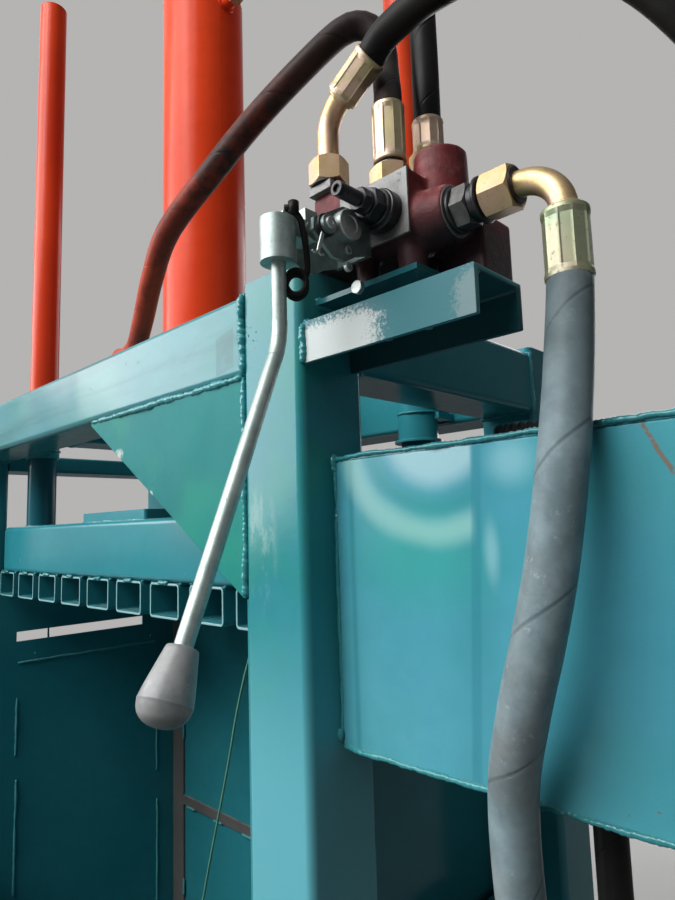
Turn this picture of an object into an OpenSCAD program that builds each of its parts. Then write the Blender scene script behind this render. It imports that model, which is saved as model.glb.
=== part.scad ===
// Vertical recycling baler: welded tube frame, down-stroke cylinder, open-tube platen, hand valve and oil tank.
// Origin on the floor, midway between the four posts. X to the right along the front, Y to the back, Z up.

/* [Frame] */
// Clear width between the left and right posts
inner_w = 1050; // [1030:5:1150]
// Depth over the front and rear posts
frame_d = 620; // [600:5:680]
// Side of the square post tube
post_w = 100; // [96:2:110]
// Height of the posts
post_h = 1850; // [1830:5:1900]
// Wall of the frame tubes
tube_wall = 5; // [3:0.5:8]
// Outer corner radius of the frame tubes
tube_r = 10; // [6:1:14]
// How far the posts rise over the top beams
post_rise = 10; // [5:1:20]
// Length of the front corner gusset along the beam
gusset_l = 400; // [300:10:450]
// Height of the front corner gusset
gusset_h = 256; // [200:4:300]
// Thickness of the front corner gusset
gusset_t = 10; // [6:1:14]
// Height of the flat left side tie
tie_h = 40; // [30:1:50]
// Thickness of the foot plates
foot_t = 12; // [8:1:20]
// Length that a foot plate reaches past its post
foot_out = 70; // [60:2:90]
// Diameter of the floor bolt holes
foot_hole = 14; // [10:1:18]

/* [Chamber] */
// Height of the top face of the chamber floor sheet
floor_z = 208; // [190:2:240]
// Thickness of the chamber sheets
sheet = 5; // [3:0.5:6]
// How far the side sheets stand in from the post faces
wall_in = 20; // [15:1:24]
// Height of the top edge of the chamber sheets
wall_top = 1480; // [1440:5:1500]
// Height of the lower edge of the slot in the side sheets
slot_z = 1318; // [1280:2:1350]
// Height of that slot
slot_h = 22; // [16:1:30]
// Top of the bale door
door_top = 900; // [860:10:960]
// Height of the rail on the back sheet
back_rail_z = 842; // [800:2:900]

/* [Press] */
// Outer diameter of the main cylinder
cyl_d = 175; // [168:1:178]
// Inner diameter of the main cylinder
cyl_bore = 150; // [140:1:154]
// Diameter of the piston rod
rod_d = 80; // [70:1:90]
// Travel of the platen
stroke = 850; // [800:10:870]
// Distance of the cylinder axis from mid depth, to the front
cyl_front = 5; // [0:1:10]
// Diameter of the guide tubes
guide_d = 62; // [58:1:66]
// Sideways distance of each guide tube from the cylinder
guide_dx = 424; // [410:1:430]
// Depth distance of each guide tube from the cylinder
guide_dy = 167; // [160:1:172]
// Height of the guide tube tops
guide_top = 2900; // [2860:10:2950]
// Height of the platen beams' underside at rest
platen_z = 1484; // [1476:2:1492]
// Distance of the platen front behind the frame front
platen_back = 75; // [68:1:80]
// Number of platen tubes
tube_n = 9; // [7:1:9]
// Pitch of the platen tubes
tube_pitch = 112; // [108:1:114]
// Width of a platen tube
tube_w = 84; // [76:1:90]
// Height of a platen tube
tube_h = 54; // [50:1:60]
// Length of the platen tubes
tube_len = 440; // [430:2:450]
// Running clearance on the radius of rod, guides and pins
run_fit = 0.05; // [0.02:0.01:0.1]

/* [Valve] */
// Length of the channel bracket beside the post
channel_l = 215; // [200:5:230]
// Width of the channel
channel_w = 80; // [76:1:84]
// Flange height of the channel
channel_h = 45; // [40:1:50]
// Height of the channel top
channel_z = 1781; // [1776:1:1786]
// Height of the top of the valve mount plate
plate_z = 1810; // [1808:1:1816]
// Thickness of the valve mount plate
plate_t = 6; // [5:0.5:8]
// Width of the valve body
valve_w = 134; // [128:1:138]
// Depth of the valve body
valve_d = 110; // [104:1:116]
// Height of the valve body
valve_h = 71; // [66:1:76]
// Diameter of the lever rod
lever_d = 14; // [12:1:16]
// Swing of the valve lever to each side, in degrees
lever_swing = 12; // [8:1:15]

/* [Tank] */
// Length of the oil tank
tank_l = 451; // [440:1:470]
// Depth of the oil tank
tank_d = 300; // [280:5:320]
// Height of the oil tank
tank_h = 299; // [290:1:310]
// Height of the tank's underside
tank_z = 1336; // [1330:1:1342]
// Width of the tank front's folded left edge
tank_fold = 26; // [20:1:30]
// Wall of the tank
tank_wall = 4; // [3:0.5:5]

/* [Hidden] */
teal = "#4f9ea6";
signal = "#d8482a";
zinc = "#c9c6b8";
steel = "#8f9496";
rubber = "#242628";
cast_red = "#8c3a3c";

half_w = inner_w / 2;
half_d = frame_d / 2;
post_x = half_w + post_w / 2;
post_y = half_d - post_w / 2;
out_x = half_w + post_w;
beam_z = post_h - post_rise - post_w;
beam_top = beam_z + post_w;
beam_mid = beam_z + post_w / 2;
deep = frame_d - 2 * post_w;
wall_x = half_w - wall_in;
back_y = half_d - post_w + 22;
wall_front = 18 - half_d;
cyl_y = -cyl_front;
cross_x = 140;
cross_plate = 380;
cross_t = 20;
flange_t = 15;
flange_d = 240;
flange_z = beam_top + cross_t;
cyl_z = 1700;
gland_h = 80;
gland_lip = 10;
piston_h = 80;
end_gap = 10;
piston_z = cyl_z + gland_h + end_gap + stroke;
cap_h = 40;
cyl_top = piston_z + piston_h + end_gap;
platen_t = 18;
platen_top = platen_z + post_w;
platen_y = platen_back - half_d;
platen_half = half_w - 55;
bush_d = 72;
bush_drop = 34;
port_z = flange_z + flange_t + 23;
port_r = 16;
cap_port_z = cyl_top - 35;

// Points of a rectangle with round corners, centred on the origin.
function rounded(w, h, r, n = 4) = [
    for (c = [[1, 1, 0], [-1, 1, 90], [-1, -1, 180], [1, -1, 270]], i = [0:n])
    let (a = c[2] + 90 * i / n) [c[0] * (w / 2 - r) + r * cos(a), c[1] * (h / 2 - r) + r * sin(a)]
];

module tube_profile(w, h, t, r) {
    difference() {
        polygon(rounded(w, h, r));
        polygon(rounded(w - 2 * t, h - 2 * t, max(r - t, 1)));
    }
}
module tube_x(x0, x1, y, z, w, h, t = tube_wall, r = tube_r)
    translate([x0, y, z]) rotate([90, 0, 90]) linear_extrude(x1 - x0) tube_profile(w, h, t, r);
module tube_y(y0, y1, x, z, w, h, t = tube_wall, r = tube_r)
    translate([x, y1, z]) rotate([90, 0, 0]) linear_extrude(y1 - y0) tube_profile(w, h, t, r);
module box(lo, hi) translate(lo) cube(hi - lo);
module rod_x(x0, x1, y, z, d) translate([x0, y, z]) rotate([0, 90, 0]) cylinder(d = d, h = x1 - x0, $fn = 48);
module rod_y(y0, y1, x, z, d) translate([x, y1, z]) rotate([90, 0, 0]) cylinder(d = d, h = y1 - y0, $fn = 48);
module rod_z(z0, z1, x, y, d) translate([x, y, z0]) cylinder(d = d, h = z1 - z0, $fn = 64);
module hex_z(z0, z1, x, y, af, turn = 0)
    translate([x, y, z0]) rotate(turn) cylinder(d = af / cos(30), h = z1 - z0, $fn = 6);

module post(x, y) {
    cap = 5;
    color(teal) translate([x, y, foot_t]) {
        linear_extrude(post_h - foot_t - cap) tube_profile(post_w, post_w, tube_wall, tube_r);
        translate([0, 0, post_h - foot_t - cap]) linear_extrude(cap) polygon(rounded(post_w, post_w, tube_r));
    }
}
module post_front_right() post(post_x, -post_y);
module post_front_left() post(-post_x, -post_y);
module post_rear_right() post(post_x, post_y);
module post_rear_left() post(-post_x, post_y);

module foot_plates() {
    color(teal) for (sx = [-1, 1], sy = [-1, 1]) difference() {
        translate([sx * (post_x + foot_out / 2), sy * post_y, 0])
            linear_extrude(foot_t) polygon(rounded(post_w + foot_out, post_w + 10, 12));
        translate([sx * (out_x + foot_out / 2), sy * post_y, -1]) cylinder(d = foot_hole, h = foot_t + 2, $fn = 32);
    }
}

module beam_top_front() color(teal) tube_x(-half_w, half_w, -post_y, beam_mid, post_w, post_w);
module beam_top_rear() color(teal) tube_x(-half_w, half_w, post_y, beam_mid, post_w, post_w);
module beam_top_right() color(teal) tube_y(-deep / 2, deep / 2, post_x, beam_mid, post_w, post_w);
module tie_top_left() color(teal) tube_y(-deep / 2, deep / 2, -post_x, beam_z, post_w, tie_h, 4, 6);

module corner_gusset() {
    nose = 6;
    color(teal) translate([half_w, 2 - half_d + gusset_t, beam_z]) rotate([90, 0, 0]) linear_extrude(gusset_t)
        polygon([[0, 0], [-gusset_l, 0], [-gusset_l, -nose], [-nose, -gusset_h], [0, -gusset_h]]);
}

module crosshead_beams()
    color(teal) for (s = [-1, 1]) tube_y(-deep / 2, deep / 2, s * cross_x, beam_mid, post_w, post_w);
module crosshead_plate() {
    color(teal) difference() {
        translate([0, cyl_y, beam_top]) linear_extrude(cross_t) polygon(rounded(cross_plate, cross_plate, 20));
        rod_z(beam_top - 1, beam_top + cross_t + 1, 0, cyl_y, cyl_d + 1);
        flange_holes(beam_top - 1, beam_top + cross_t + 1, 17);
    }
}
module flange_holes(z0, z1, d)
    for (i = [0:7]) let (a = 22.5 + 45 * i, r = flange_d / 2 - 16)
        rod_z(z0, z1, r * cos(a), cyl_y + r * sin(a), d);

// One bush hangs from the front beam and one, with a foot flange, from the rear beam.
module guide_bush(s, drop) {
    y = cyl_y + s * guide_dy;
    reach = deep / 2 - s * y;
    color(teal) difference() {
        union() {
            rod_z(beam_z - drop, beam_top, s * guide_dx, y, bush_d);
            for (z = [beam_z + 6, beam_top - 18])
                translate([s * guide_dx, y + s * reach / 2, z]) linear_extrude(12) square([bush_d + 20, reach], center = true);
            if (drop > 0) rod_z(beam_z - drop, beam_z - drop + 5, s * guide_dx, y, bush_d + 14);
        }
        rod_z(beam_z - drop - 1, beam_top + 1, s * guide_dx, y, guide_d + 2 * run_fit);
    }
}
module guide_bushes() {
    guide_bush(-1, 0);
    guide_bush(1, bush_drop);
}

base_z = floor_z - sheet - post_w;
module base_rails() {
    color(teal) {
        for (s = [-1, 1]) {
            tube_x(-half_w, half_w, s * post_y, base_z + post_w / 2, post_w, post_w);
            tube_y(-deep / 2, deep / 2, s * post_x, base_z + post_w / 2, post_w, post_w);
        }
    }
}
module floor_joists() {
    joist = 60;
    color(teal) for (y = [-110, 0, 110]) tube_x(-half_w, half_w, y, floor_z - sheet - joist / 2, joist, joist, 4, 6);
}
module chamber_floor() color(teal) box([-half_w, wall_front, floor_z - sheet], [half_w, back_y, floor_z]);

slot_y0 = -190;
slot_y1 = 133;
module side_sheet(s) {
    color(teal) difference() {
        box([s > 0 ? wall_x : -wall_x - sheet, wall_front, floor_z], [s > 0 ? wall_x + sheet : -wall_x, back_y, wall_top]);
        box([-half_w, slot_y0, slot_z], [half_w, slot_y1, slot_z + slot_h]);
    }
}
module wall_left() side_sheet(-1);
module wall_right() side_sheet(1);
module wall_back() color(teal) box([-half_w, back_y, floor_z], [half_w, back_y + sheet, wall_top]);
module wall_spacers() {
    color(teal) for (s = [-1, 1], y = [wall_front, half_d - post_w])
        box([s > 0 ? wall_x + sheet : -half_w, y, floor_z], [s > 0 ? half_w : -wall_x - sheet, y + 22, wall_top]);
}
// The rail and the two corner strips on the inside of the back sheet.
module back_rail() {
    t = 6;
    color("#6d5a50") union() {
        box([-wall_x, back_y - t, back_rail_z], [wall_x, back_y, back_rail_z + 24]);
        for (s = [-1, 1]) box([s > 0 ? wall_x - 50 : -wall_x, back_y - t, floor_z], [s > 0 ? wall_x : 50 - wall_x, back_y, wall_top]);
    }
}
// Tubes behind the back sheet and beside the side sheets, at shares of the wall height.
module chamber_rails() {
    rail = 60;
    wall_h = wall_top - floor_z;
    color(teal) {
        for (k = [0.17, 0.43, 0.7, 0.95])
            tube_x(-half_w, half_w, back_y + sheet + rail / 2, floor_z + k * wall_h, rail, rail, 4, 6);
        for (s = [-1, 1], k = [0.28, 0.59, 0.94])
            tube_y(-deep / 2, deep / 2, s * (half_w + rail / 2), floor_z + k * wall_h, rail, rail, 4, 6);
    }
}

door_gap = 1;
door_y = -half_d - door_gap;
door_t = 6;
door_half = 560;
rib_d = 60;
pin_x = -590;
pin_y = -335;
pin_d = 16;
hinge_zs = [floor_z + 110, door_top - 130];
strap_h = 50;
lug_h = 14;
module bale_door() color(teal) box([-door_half, door_y - door_t, floor_z + 7], [door_half, door_y, door_top]);
module door_ribs() {
    color(teal) for (z = [floor_z + 70, (floor_z + door_top) / 2, door_top - 50])
        tube_x(-400, 520, door_y - door_t - rib_d / 2, z, rib_d, rib_d, 4, 6);
}
module door_hinge_straps() {
    front = door_y - door_t;
    color(teal) for (z = hinge_zs) difference() {
        union() {
            rod_z(z, z + strap_h, pin_x, pin_y, 30);
            box([pin_x, front - 12, z], [-420, front, z + strap_h]);
        }
        rod_z(z - 1, z + strap_h + 1, pin_x, pin_y, pin_d + 2 * run_fit);
    }
}
module hinge_lugs() {
    gap = 0.5;
    color(teal) for (z = hinge_zs, u = [0, 1]) let (z0 = u > 0 ? z + strap_h + gap : z - gap - lug_h) difference() {
        union() {
            rod_z(z0, z0 + lug_h, pin_x, pin_y, 30);
            box([pin_x - 15, pin_y, z0], [pin_x + 15, -half_d, z0 + lug_h]);
        }
        rod_z(z0 - 1, z0 + lug_h + 1, pin_x, pin_y, pin_d);
    }
}
// Two hinge pins with heads, and the turned pin of the latch.
module door_pins() {
    color(zinc) {
        for (z = hinge_zs) {
            rod_z(z - 0.5 - lug_h, z + strap_h + 0.5 + lug_h, pin_x, pin_y, pin_d);
            rod_z(z + strap_h + 0.5 + lug_h, z + strap_h + 6.5 + lug_h, pin_x, pin_y, 24);
        }
        rod_y(latch_y + 0.3, -half_d, latch_x, latch_z, 28);
        rod_y(latch_y - latch_t - 1, latch_y + 0.3, latch_x, latch_z, latch_hole);
        rod_y(latch_y - latch_t - 9, latch_y - latch_t - 0.4, latch_x, latch_z, 26);
    }
}

latch_x = 590;
latch_z = door_top - 230;
latch_len = 140;
latch_y = door_y - door_t - 4;
latch_t = 8;
latch_hole = 14;
module latch_bar() {
    color(signal) difference() {
        union() {
            rod_y(latch_y - latch_t, latch_y, latch_x, latch_z, 36);
            translate([latch_x, latch_y, latch_z]) rotate([90, 0, 0]) linear_extrude(latch_t)
                polygon([[-15, 0], [15, 0], [12, latch_len], [-12, latch_len]]);
            rod_y(latch_y - 60, latch_y - latch_t, latch_x, latch_z + latch_len - 16, 16);
        }
        rod_y(latch_y - latch_t - 1, latch_y + 1, latch_x, latch_z, latch_hole + 2 * run_fit);
    }
}

module cylinder_barrel() {
    color(signal) difference() {
        union() {
            rod_z(cyl_z, cyl_top, 0, cyl_y, cyl_d);
            rod_z(flange_z, flange_z + flange_t, 0, cyl_y, flange_d);
            rod_y(cyl_y - cyl_d / 2 - 24, cyl_y, 0, port_z, 2 * port_r);
            rod_x(0, cyl_d / 2 + 24, cyl_y, cap_port_z, 2 * port_r);
        }
        rod_z(cyl_z - 1, cyl_top + 1, 0, cyl_y, cyl_bore);
        flange_holes(flange_z - 1, flange_z + flange_t + 1, 17);
        rod_y(cyl_y - cyl_d / 2 - 25, cyl_y, 0, port_z, 14);
        rod_x(0, cyl_d / 2 + 25, cyl_y, cap_port_z, 14);
    }
}
module cylinder_cap() {
    color(signal) union() {
        rod_z(cyl_top, cyl_top + cap_h / 2, 0, cyl_y, cyl_d - 6);
        rod_z(cyl_top + cap_h / 2, cyl_top + cap_h, 0, cyl_y, cyl_d - 30);
    }
}
module cylinder_gland() {
    color(steel) difference() {
        union() {
            rod_z(cyl_z, cyl_z + gland_h, 0, cyl_y, cyl_bore);
            rod_z(cyl_z - gland_lip, cyl_z, 0, cyl_y, cyl_d - 8);
        }
        rod_z(cyl_z - gland_lip - 1, cyl_z + gland_h + 1, 0, cyl_y, rod_d + 2 * run_fit);
    }
}
rod_end = 50;
module piston() {
    color(steel) difference() {
        rod_z(piston_z, piston_z + piston_h, 0, cyl_y, cyl_bore - 2 * run_fit);
        rod_z(piston_z - 1, piston_z + piston_h + 1, 0, cyl_y, rod_end);
    }
}
rod_foot = 22;
module piston_rod() {
    color("#d5d8da") union() {
        rod_z(platen_top + platen_t, platen_top + platen_t + rod_foot, 0, cyl_y, 150);
        rod_z(platen_top + platen_t + rod_foot, piston_z, 0, cyl_y, rod_d);
        rod_z(piston_z, piston_z + piston_h, 0, cyl_y, rod_end);
    }
}

mid_x = 90;
module platen_front_beam()
    color(teal) tube_x(-platen_half, platen_half, platen_y + post_w / 2, platen_z + post_w / 2, post_w, post_w);
// Rear beam, end beams and the two short beams under the rod plate.
module platen_frame() {
    y0 = platen_y + post_w;
    y1 = platen_y + tube_len - post_w;
    zc = platen_z + post_w / 2;
    color(teal) {
        tube_x(-platen_half, platen_half, y1 + post_w / 2, zc, post_w, post_w);
        for (x = [post_w / 2 - platen_half, -mid_x, mid_x, platen_half - post_w / 2])
            tube_y(y0, y1, x, zc, abs(x) < post_w ? 80 : post_w, post_w);
    }
}
module platen_tubes() {
    y1 = platen_y + tube_len;
    color(teal) for (i = [0:tube_n - 1])
        tube_y(platen_y, y1, (i - (tube_n - 1) / 2) * tube_pitch, platen_z - tube_h / 2, tube_w, tube_h, 4, 7);
}
module platen_plate()
    color(teal) translate([0, cyl_y, platen_top]) linear_extrude(platen_t) polygon(rounded(240, tube_len - 30, 6));
module guide_tubes() {
    color(teal) for (s = [-1, 1]) difference() {
        rod_z(platen_top, guide_top, s * guide_dx, cyl_y + s * guide_dy, guide_d);
        rod_z(platen_top + 8, guide_top - 8, s * guide_dx, cyl_y + s * guide_dy, guide_d - 12);
    }
}
module flange_bolts() {
    color(zinc) for (i = [0:7]) let (a = 22.5 + 45 * i, r = flange_d / 2 - 16, x = r * cos(a), y = cyl_y + r * sin(a)) {
        rod_z(flange_z - 14, flange_z + flange_t, x, y, 16);
        hex_z(flange_z + flange_t, flange_z + flange_t + 10, x, y, 24, a);
    }
}

channel_y = 5 - half_d;
web = 6;
flange = 6;
module valve_channel() {
    color(teal) translate([out_x, channel_y + channel_w, channel_z]) rotate([90, 0, 90]) mirror([1, 0, 0])
        linear_extrude(channel_l) polygon([
            [0, -channel_h], [0, 0], [channel_w, 0], [channel_w, -channel_h],
            [channel_w - flange, -channel_h], [channel_w - flange - 1, -web - 4], [channel_w - flange - 5, -web],
            [flange + 5, -web], [flange + 1, -web - 4], [flange, -channel_h]
        ]);
}
plate_l = 141;
plate_y = 25 - half_d;
stud_xs = [out_x + 70, out_x + 122];
stud_y = plate_y + 40;
module valve_plate() {
    color(teal) {
        difference() {
            box([out_x, plate_y, plate_z - plate_t], [out_x + plate_l, plate_y + 120, plate_z]);
            for (x = stud_xs) rod_z(plate_z - plate_t - 1, plate_z + 1, x, stud_y, 10);
        }
        for (x = stud_xs) hex_z(channel_z, plate_z - plate_t, x, stud_y, 17, 15);
    }
}

valve_x = out_x + plate_l - 6 - valve_w;
valve_y = plate_y;
foot_h = 31;
valve_z = plate_z + foot_h;
valve_top = valve_z + valve_h;
port_a = [out_x + 18, plate_y + 10];
port_b = [out_x + 87.5, plate_y + 33.5];
port_c = [out_x + 99, plate_y + 90];
plug_c = [out_x + 135, plate_y + 63];
port_d = [valve_x + valve_w, plate_y + 35, valve_z + 32];
spool_x = out_x + 61;
spool_z = valve_z + 22;
spool_d = 18;
a_rise = 26;
plug_rise = 30;
c_rise = plug_rise + 1.5;
module valve_body() {
    color(cast_red) difference() {
        union() {
            translate([valve_x + valve_w / 2, valve_y + valve_d / 2, valve_z]) linear_extrude(valve_h)
                polygon(rounded(valve_w, valve_d, 5));
            rod_z(plate_z, valve_z + 1, out_x + 59, valve_y + 24, 24);
            rod_z(plate_z, valve_z + 1, out_x + 119, valve_y + 24, 30);
            rod_z(plate_z, valve_z + 1, out_x + 90, valve_y + valve_d - 22, 24);
            rod_z(valve_top - 20, valve_top + a_rise - 10, port_a[0] + 2, port_a[1] + 16, 44);
            translate([port_a[0] + 3, port_a[1] + 6, valve_top + a_rise - 18]) linear_extrude(18) polygon(rounded(42, 42, 5));
            rod_z(port_d[2] + 28, valve_top + plug_rise, plug_c[0], plug_c[1], 56);
            rod_z(valve_top - 20, valve_top + c_rise, port_c[0], port_c[1], 44);
            rod_x(port_d[0] - 20, d_x0, port_d[1], port_d[2], 58);
            translate([out_x + 176, valve_y + 90, channel_z]) linear_extrude(valve_z - channel_z - 3) polygon(rounded(68, 60, 10));
            box([out_x + 120, valve_y + 63, plate_z + 6], [out_x + 150, valve_y + 108, valve_z + 4]);
        }
        rod_y(valve_y - 1, valve_y + valve_d + 1, spool_x, spool_z, spool_d + 2 * run_fit);
        rod_z(valve_top + a_rise - 14, valve_top + a_rise + 1, port_a[0], port_a[1], 20);
        rod_z(valve_top - 14, valve_top + 1, port_b[0], port_b[1], 20);
        rod_z(valve_top + c_rise - 14, valve_top + c_rise + 1, port_c[0], port_c[1], 20);
        rod_x(d_x0 - 15, d_x0 + 1, port_d[1], port_d[2], 26);
    }
}
module relief_valve() {
    x = out_x + 106;
    z = valve_z + 31;
    color("#1e1f21") union() {
        rod_y(valve_y - 18, valve_y, x, z, 42);
        translate([x, valve_y - 18, z]) rotate([90, 0, 0]) cylinder(d = 34, h = 14, $fn = 6);
        rod_y(valve_y - 44, valve_y - 32, x, z, 24);
        rod_y(valve_y - 72, valve_y - 44, x, z, 15);
    }
}

pivot_y = valve_y - 69;
pivot_z = spool_z - 20;
pivot_d = 8;
lever_x = spool_x;
lever_y = valve_y - 105;
hub_d = 34;
hub_z0 = plate_z - 6;
hub_z1 = plate_z + 36;
ear_t = 4;
module valve_spool() {
    color(steel) union() {
        rod_y(valve_y - 40, valve_y + valve_d + 14, spool_x, spool_z, spool_d);
        rod_y(pivot_y + 12, valve_y - 40, spool_x, spool_z, 10);
    }
}
// Two ears on a plate that is screwed to the front of the valve, with the lever's pivot pin.
module lever_bracket() {
    w = 48;
    color(zinc) {
        difference() {
            union() {
                box([spool_x - w / 2, valve_y - 5, pivot_z - 10], [spool_x + w / 2, valve_y, pivot_z + 46]);
                for (s = [-1, 1]) let (x = spool_x + s * (w / 2 - ear_t / 2))
                    translate([x - ear_t / 2, valve_y - 5, pivot_z]) rotate([90, 0, 90]) linear_extrude(ear_t)
                        polygon([[0, -10], [0, 34], [-36, 30], [-62, 14], [-76, 6], [-77, -6], [-68, -14], [-52, -26], [-34, -26], [-18, -16]]);
            }
            rod_y(valve_y - 6, valve_y + 1, spool_x, spool_z, spool_d + 4);
            rod_x(spool_x - w, spool_x + w, pivot_y, pivot_z, pivot_d);
        }
        rod_x(spool_x - w / 2 - 4, spool_x + w / 2 + 4, pivot_y, pivot_z, pivot_d);
        rod_x(spool_x + w / 2 + 4, spool_x + w / 2 + 9, pivot_y, pivot_z, 18);
    }
}
bend_r = 80;
bend_a = 27;
straight = 55;
slant = 260;
lever_turn = 15;
// Sleeve on the pivot pin, with the bent rod that hangs from it.
module lever_hub() {
    color(zinc) difference() {
        union() {
            rod_z(hub_z0, hub_z1, lever_x, lever_y, hub_d);
            box([spool_x - 8, lever_y, pivot_z - 10], [spool_x + 8, pivot_y, pivot_z + 10]);
            rod_x(spool_x - 12, spool_x + 12, pivot_y, pivot_z, 20);
            box([spool_x - 6, pivot_y - 6, pivot_z], [spool_x + 6, pivot_y + 10, pivot_z + 24]);
            lever_rod();
        }
        rod_x(spool_x - 20, spool_x + 20, pivot_y, pivot_z, pivot_d + 2 * run_fit);
    }
}
// The rod hangs straight down, bends forward and slants to the knob.
module lever_frame() translate([lever_x, lever_y, hub_z0 - straight]) rotate([0, 0, lever_turn]) children();
slant_y = -bend_r * (1 - cos(bend_a));
slant_z = -bend_r * sin(bend_a);
module lever_rod() {
    lever_frame() {
        translate([0, 0, -2]) cylinder(d = lever_d, h = straight + 3, $fn = 48);
        translate([0, -bend_r, 0]) rotate([-90, 0, 90]) rotate_extrude(angle = bend_a, $fn = 96)
            translate([bend_r, 0]) circle(d = lever_d + 0.6, $fn = 48);
        translate([0, slant_y, slant_z]) rotate([-bend_a, 0, 0]) translate([0, 0, -slant])
            cylinder(d = lever_d, h = slant + 2, $fn = 48);
    }
}
module lever_knob() {
    color("#5c6062") lever_frame() translate([0, slant_y, slant_z]) rotate([-bend_a, 0, 0])
        translate([0, 0, -slant]) mirror([0, 0, 1]) rotate_extrude($fn = 64)
            polygon([[0, 0], [11.5, 0], [12, 1], [19, 38], [19.3, 41], [18, 48], [14, 53.5], [8, 57], [0, 58.5]]);
}

nut_h = 31;
nut_af = 44;
ferrule_l = 52;
a_z = valve_top + a_rise;
pipe_d = 25;
// Arc of a bent pipe that rises from a point and leans over by the angle a, toward the heading h.
module bent_pipe(p, h, r, a, d)
    translate(p) rotate([0, 0, h]) translate([r, 0, 0]) rotate([90, 0, 0]) mirror([1, 0, 0])
        rotate_extrude(angle = a, $fn = 96) translate([r, 0]) circle(d = d, $fn = 32);
a_head = 0;
a_bend = 61;
a_r = 45;
a_neck = 28;
a_end = [port_a[0] + a_r * (1 - cos(a_bend)) * cos(a_head), port_a[1] + a_r * (1 - cos(a_bend)) * sin(a_head),
    a_z + nut_h + a_neck + a_r * sin(a_bend)];
b_base = valve_top + nut_h + 3;
c_base = valve_top + c_rise + nut_h;
d_x0 = port_d[0] + 32;
d_x1 = d_x0 + 25;
d_x2 = d_x1 + 38;
d_r = 50;
tank_x = out_x;
tank_y = 41 - half_d;
return_x = tank_x + tank_l - 36;
return_y = tank_y + 164;
suction_dx = 250;
suction_dy = 69;
suction_x = tank_x + suction_dx;
suction_y = tank_y + suction_dy;
module pipe_fittings() {
    color(zinc) {
        hex_z(a_z, a_z + nut_h, port_a[0], port_a[1], nut_af, 15);
        rod_z(a_z + nut_h, a_z + nut_h + a_neck, port_a[0], port_a[1], pipe_d + 0.6);
        bent_pipe([port_a[0], port_a[1], a_z + nut_h + a_neck], a_head, a_r, a_bend, pipe_d);
        hex_z(valve_top, b_base, port_b[0], port_b[1], nut_af, 15);
        hex_z(valve_top + c_rise, c_base, port_c[0], port_c[1], nut_af, 15);
        translate([d_x0, port_d[1], port_d[2]]) rotate([0, 90, 0]) cylinder(d = 54, h = 12, $fn = 6);
        rod_x(d_x0 + 12, d_x1, port_d[1], port_d[2], 44);
        translate([d_x1, port_d[1], port_d[2]]) rotate([0, 90, 0]) cylinder(d = 54, h = d_x2 - d_x1, $fn = 6);
        translate([d_x2, port_d[1], port_d[2] - d_r]) rotate([90, 0, 0]) rotate_extrude(angle = 90, $fn = 96)
            translate([d_r, 0]) circle(d = 26, $fn = 32);
        translate([0, cyl_y - cyl_d / 2 - 24 - 18, port_z]) rotate([-90, 0, 0]) cylinder(d = 36 / cos(30), h = 18, $fn = 6);
        translate([cyl_d / 2 + 24, cyl_y, cap_port_z]) rotate([0, 90, 0]) cylinder(d = 36 / cos(30), h = 18, $fn = 6);
        hex_z(tank_z + tank_h, tank_z + tank_h + 25, return_x, return_y, 41);
        rod_z(tank_z - 10, tank_z, suction_x, suction_y, 34);
        hex_z(pump_top, pump_top + 12, d_low[0], d_low[1], 41);
        hex_z(pump_top, pump_top + 12, suction_x, suction_y, 36);
    }
}
b_len = 66;
c_len = 40;
module ferrule(p, rx, rz, d, l) color(zinc) translate(p) rotate([0, rx, rz]) cylinder(d = d, h = l, $fn = 48);
module hose_ferrules() {
    ferrule(a_end, a_bend, a_head, 37, ferrule_l);
    ferrule([port_b[0], port_b[1], b_base], 0, 0, 36, b_len);
    ferrule([port_c[0], port_c[1], c_base], 0, 0, 36, c_len);
    ferrule([d_x2 + d_r, port_d[1], port_d[2] - d_r - 62], 0, 0, 45, 62);
    ferrule([0, cyl_y - cyl_d / 2 - 42, port_z], 90, -90, 36, 40);
    ferrule([cyl_d / 2 + 42, cyl_y, cap_port_z], 90, 0, 36, 45);
    ferrule([return_x, return_y, tank_z + tank_h + 25], 0, 0, 37, 60);
    ferrule([d_low[0], d_low[1], pump_top + 12], 0, 0, 45, 60);
}

motor_d = 180;
shelf_z = 740;
motor_h = 280;
pump_z = shelf_z + 10 + motor_h;
pump_top = pump_z + 80;
d_low = [842, -276];
module pack_shelf() {
    shelf_t = 10;
    color(teal) {
        box([out_x, -half_d, shelf_z], [out_x + 360, 210 - half_d, shelf_z + shelf_t]);
        for (y = [-half_d, -half_d + 92]) translate([out_x, y + 8, shelf_z]) rotate([90, 0, 0]) linear_extrude(8)
            polygon([[0, 0], [300, 0], [300, -12], [12, -200], [0, -200]]);
    }
}
// Upright motor with its flanges and terminal box.
module pump_motor() {
    z0 = shelf_z + 10;
    color("#40474a") union() {
        rod_z(z0, z0 + 14, suction_x, suction_y, motor_d + 18);
        rod_z(z0 + 14, pump_z - 46, suction_x, suction_y, motor_d);
        rod_z(pump_z - 46, pump_z - 30, suction_x, suction_y, motor_d - 14);
        box([suction_x - motor_d / 2 - 38, suction_y - 45, z0 + 80], [suction_x - 40, suction_y + 45, z0 + 180]);
    }
}
// Coupling bell, gear pump and the outlet block under the pressure hose.
module oil_pump() {
    color(steel) union() {
        rod_z(pump_z - 30, pump_z, suction_x, suction_y, 120);
        translate([suction_x, suction_y, pump_z]) linear_extrude(pump_top - pump_z) polygon(rounded(104, 96, 14));
        translate([d_low[0], d_low[1] + 10, pump_z + 20]) linear_extrude(pump_top - pump_z - 20) polygon(rounded(56, 78, 6));
    }
}

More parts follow.
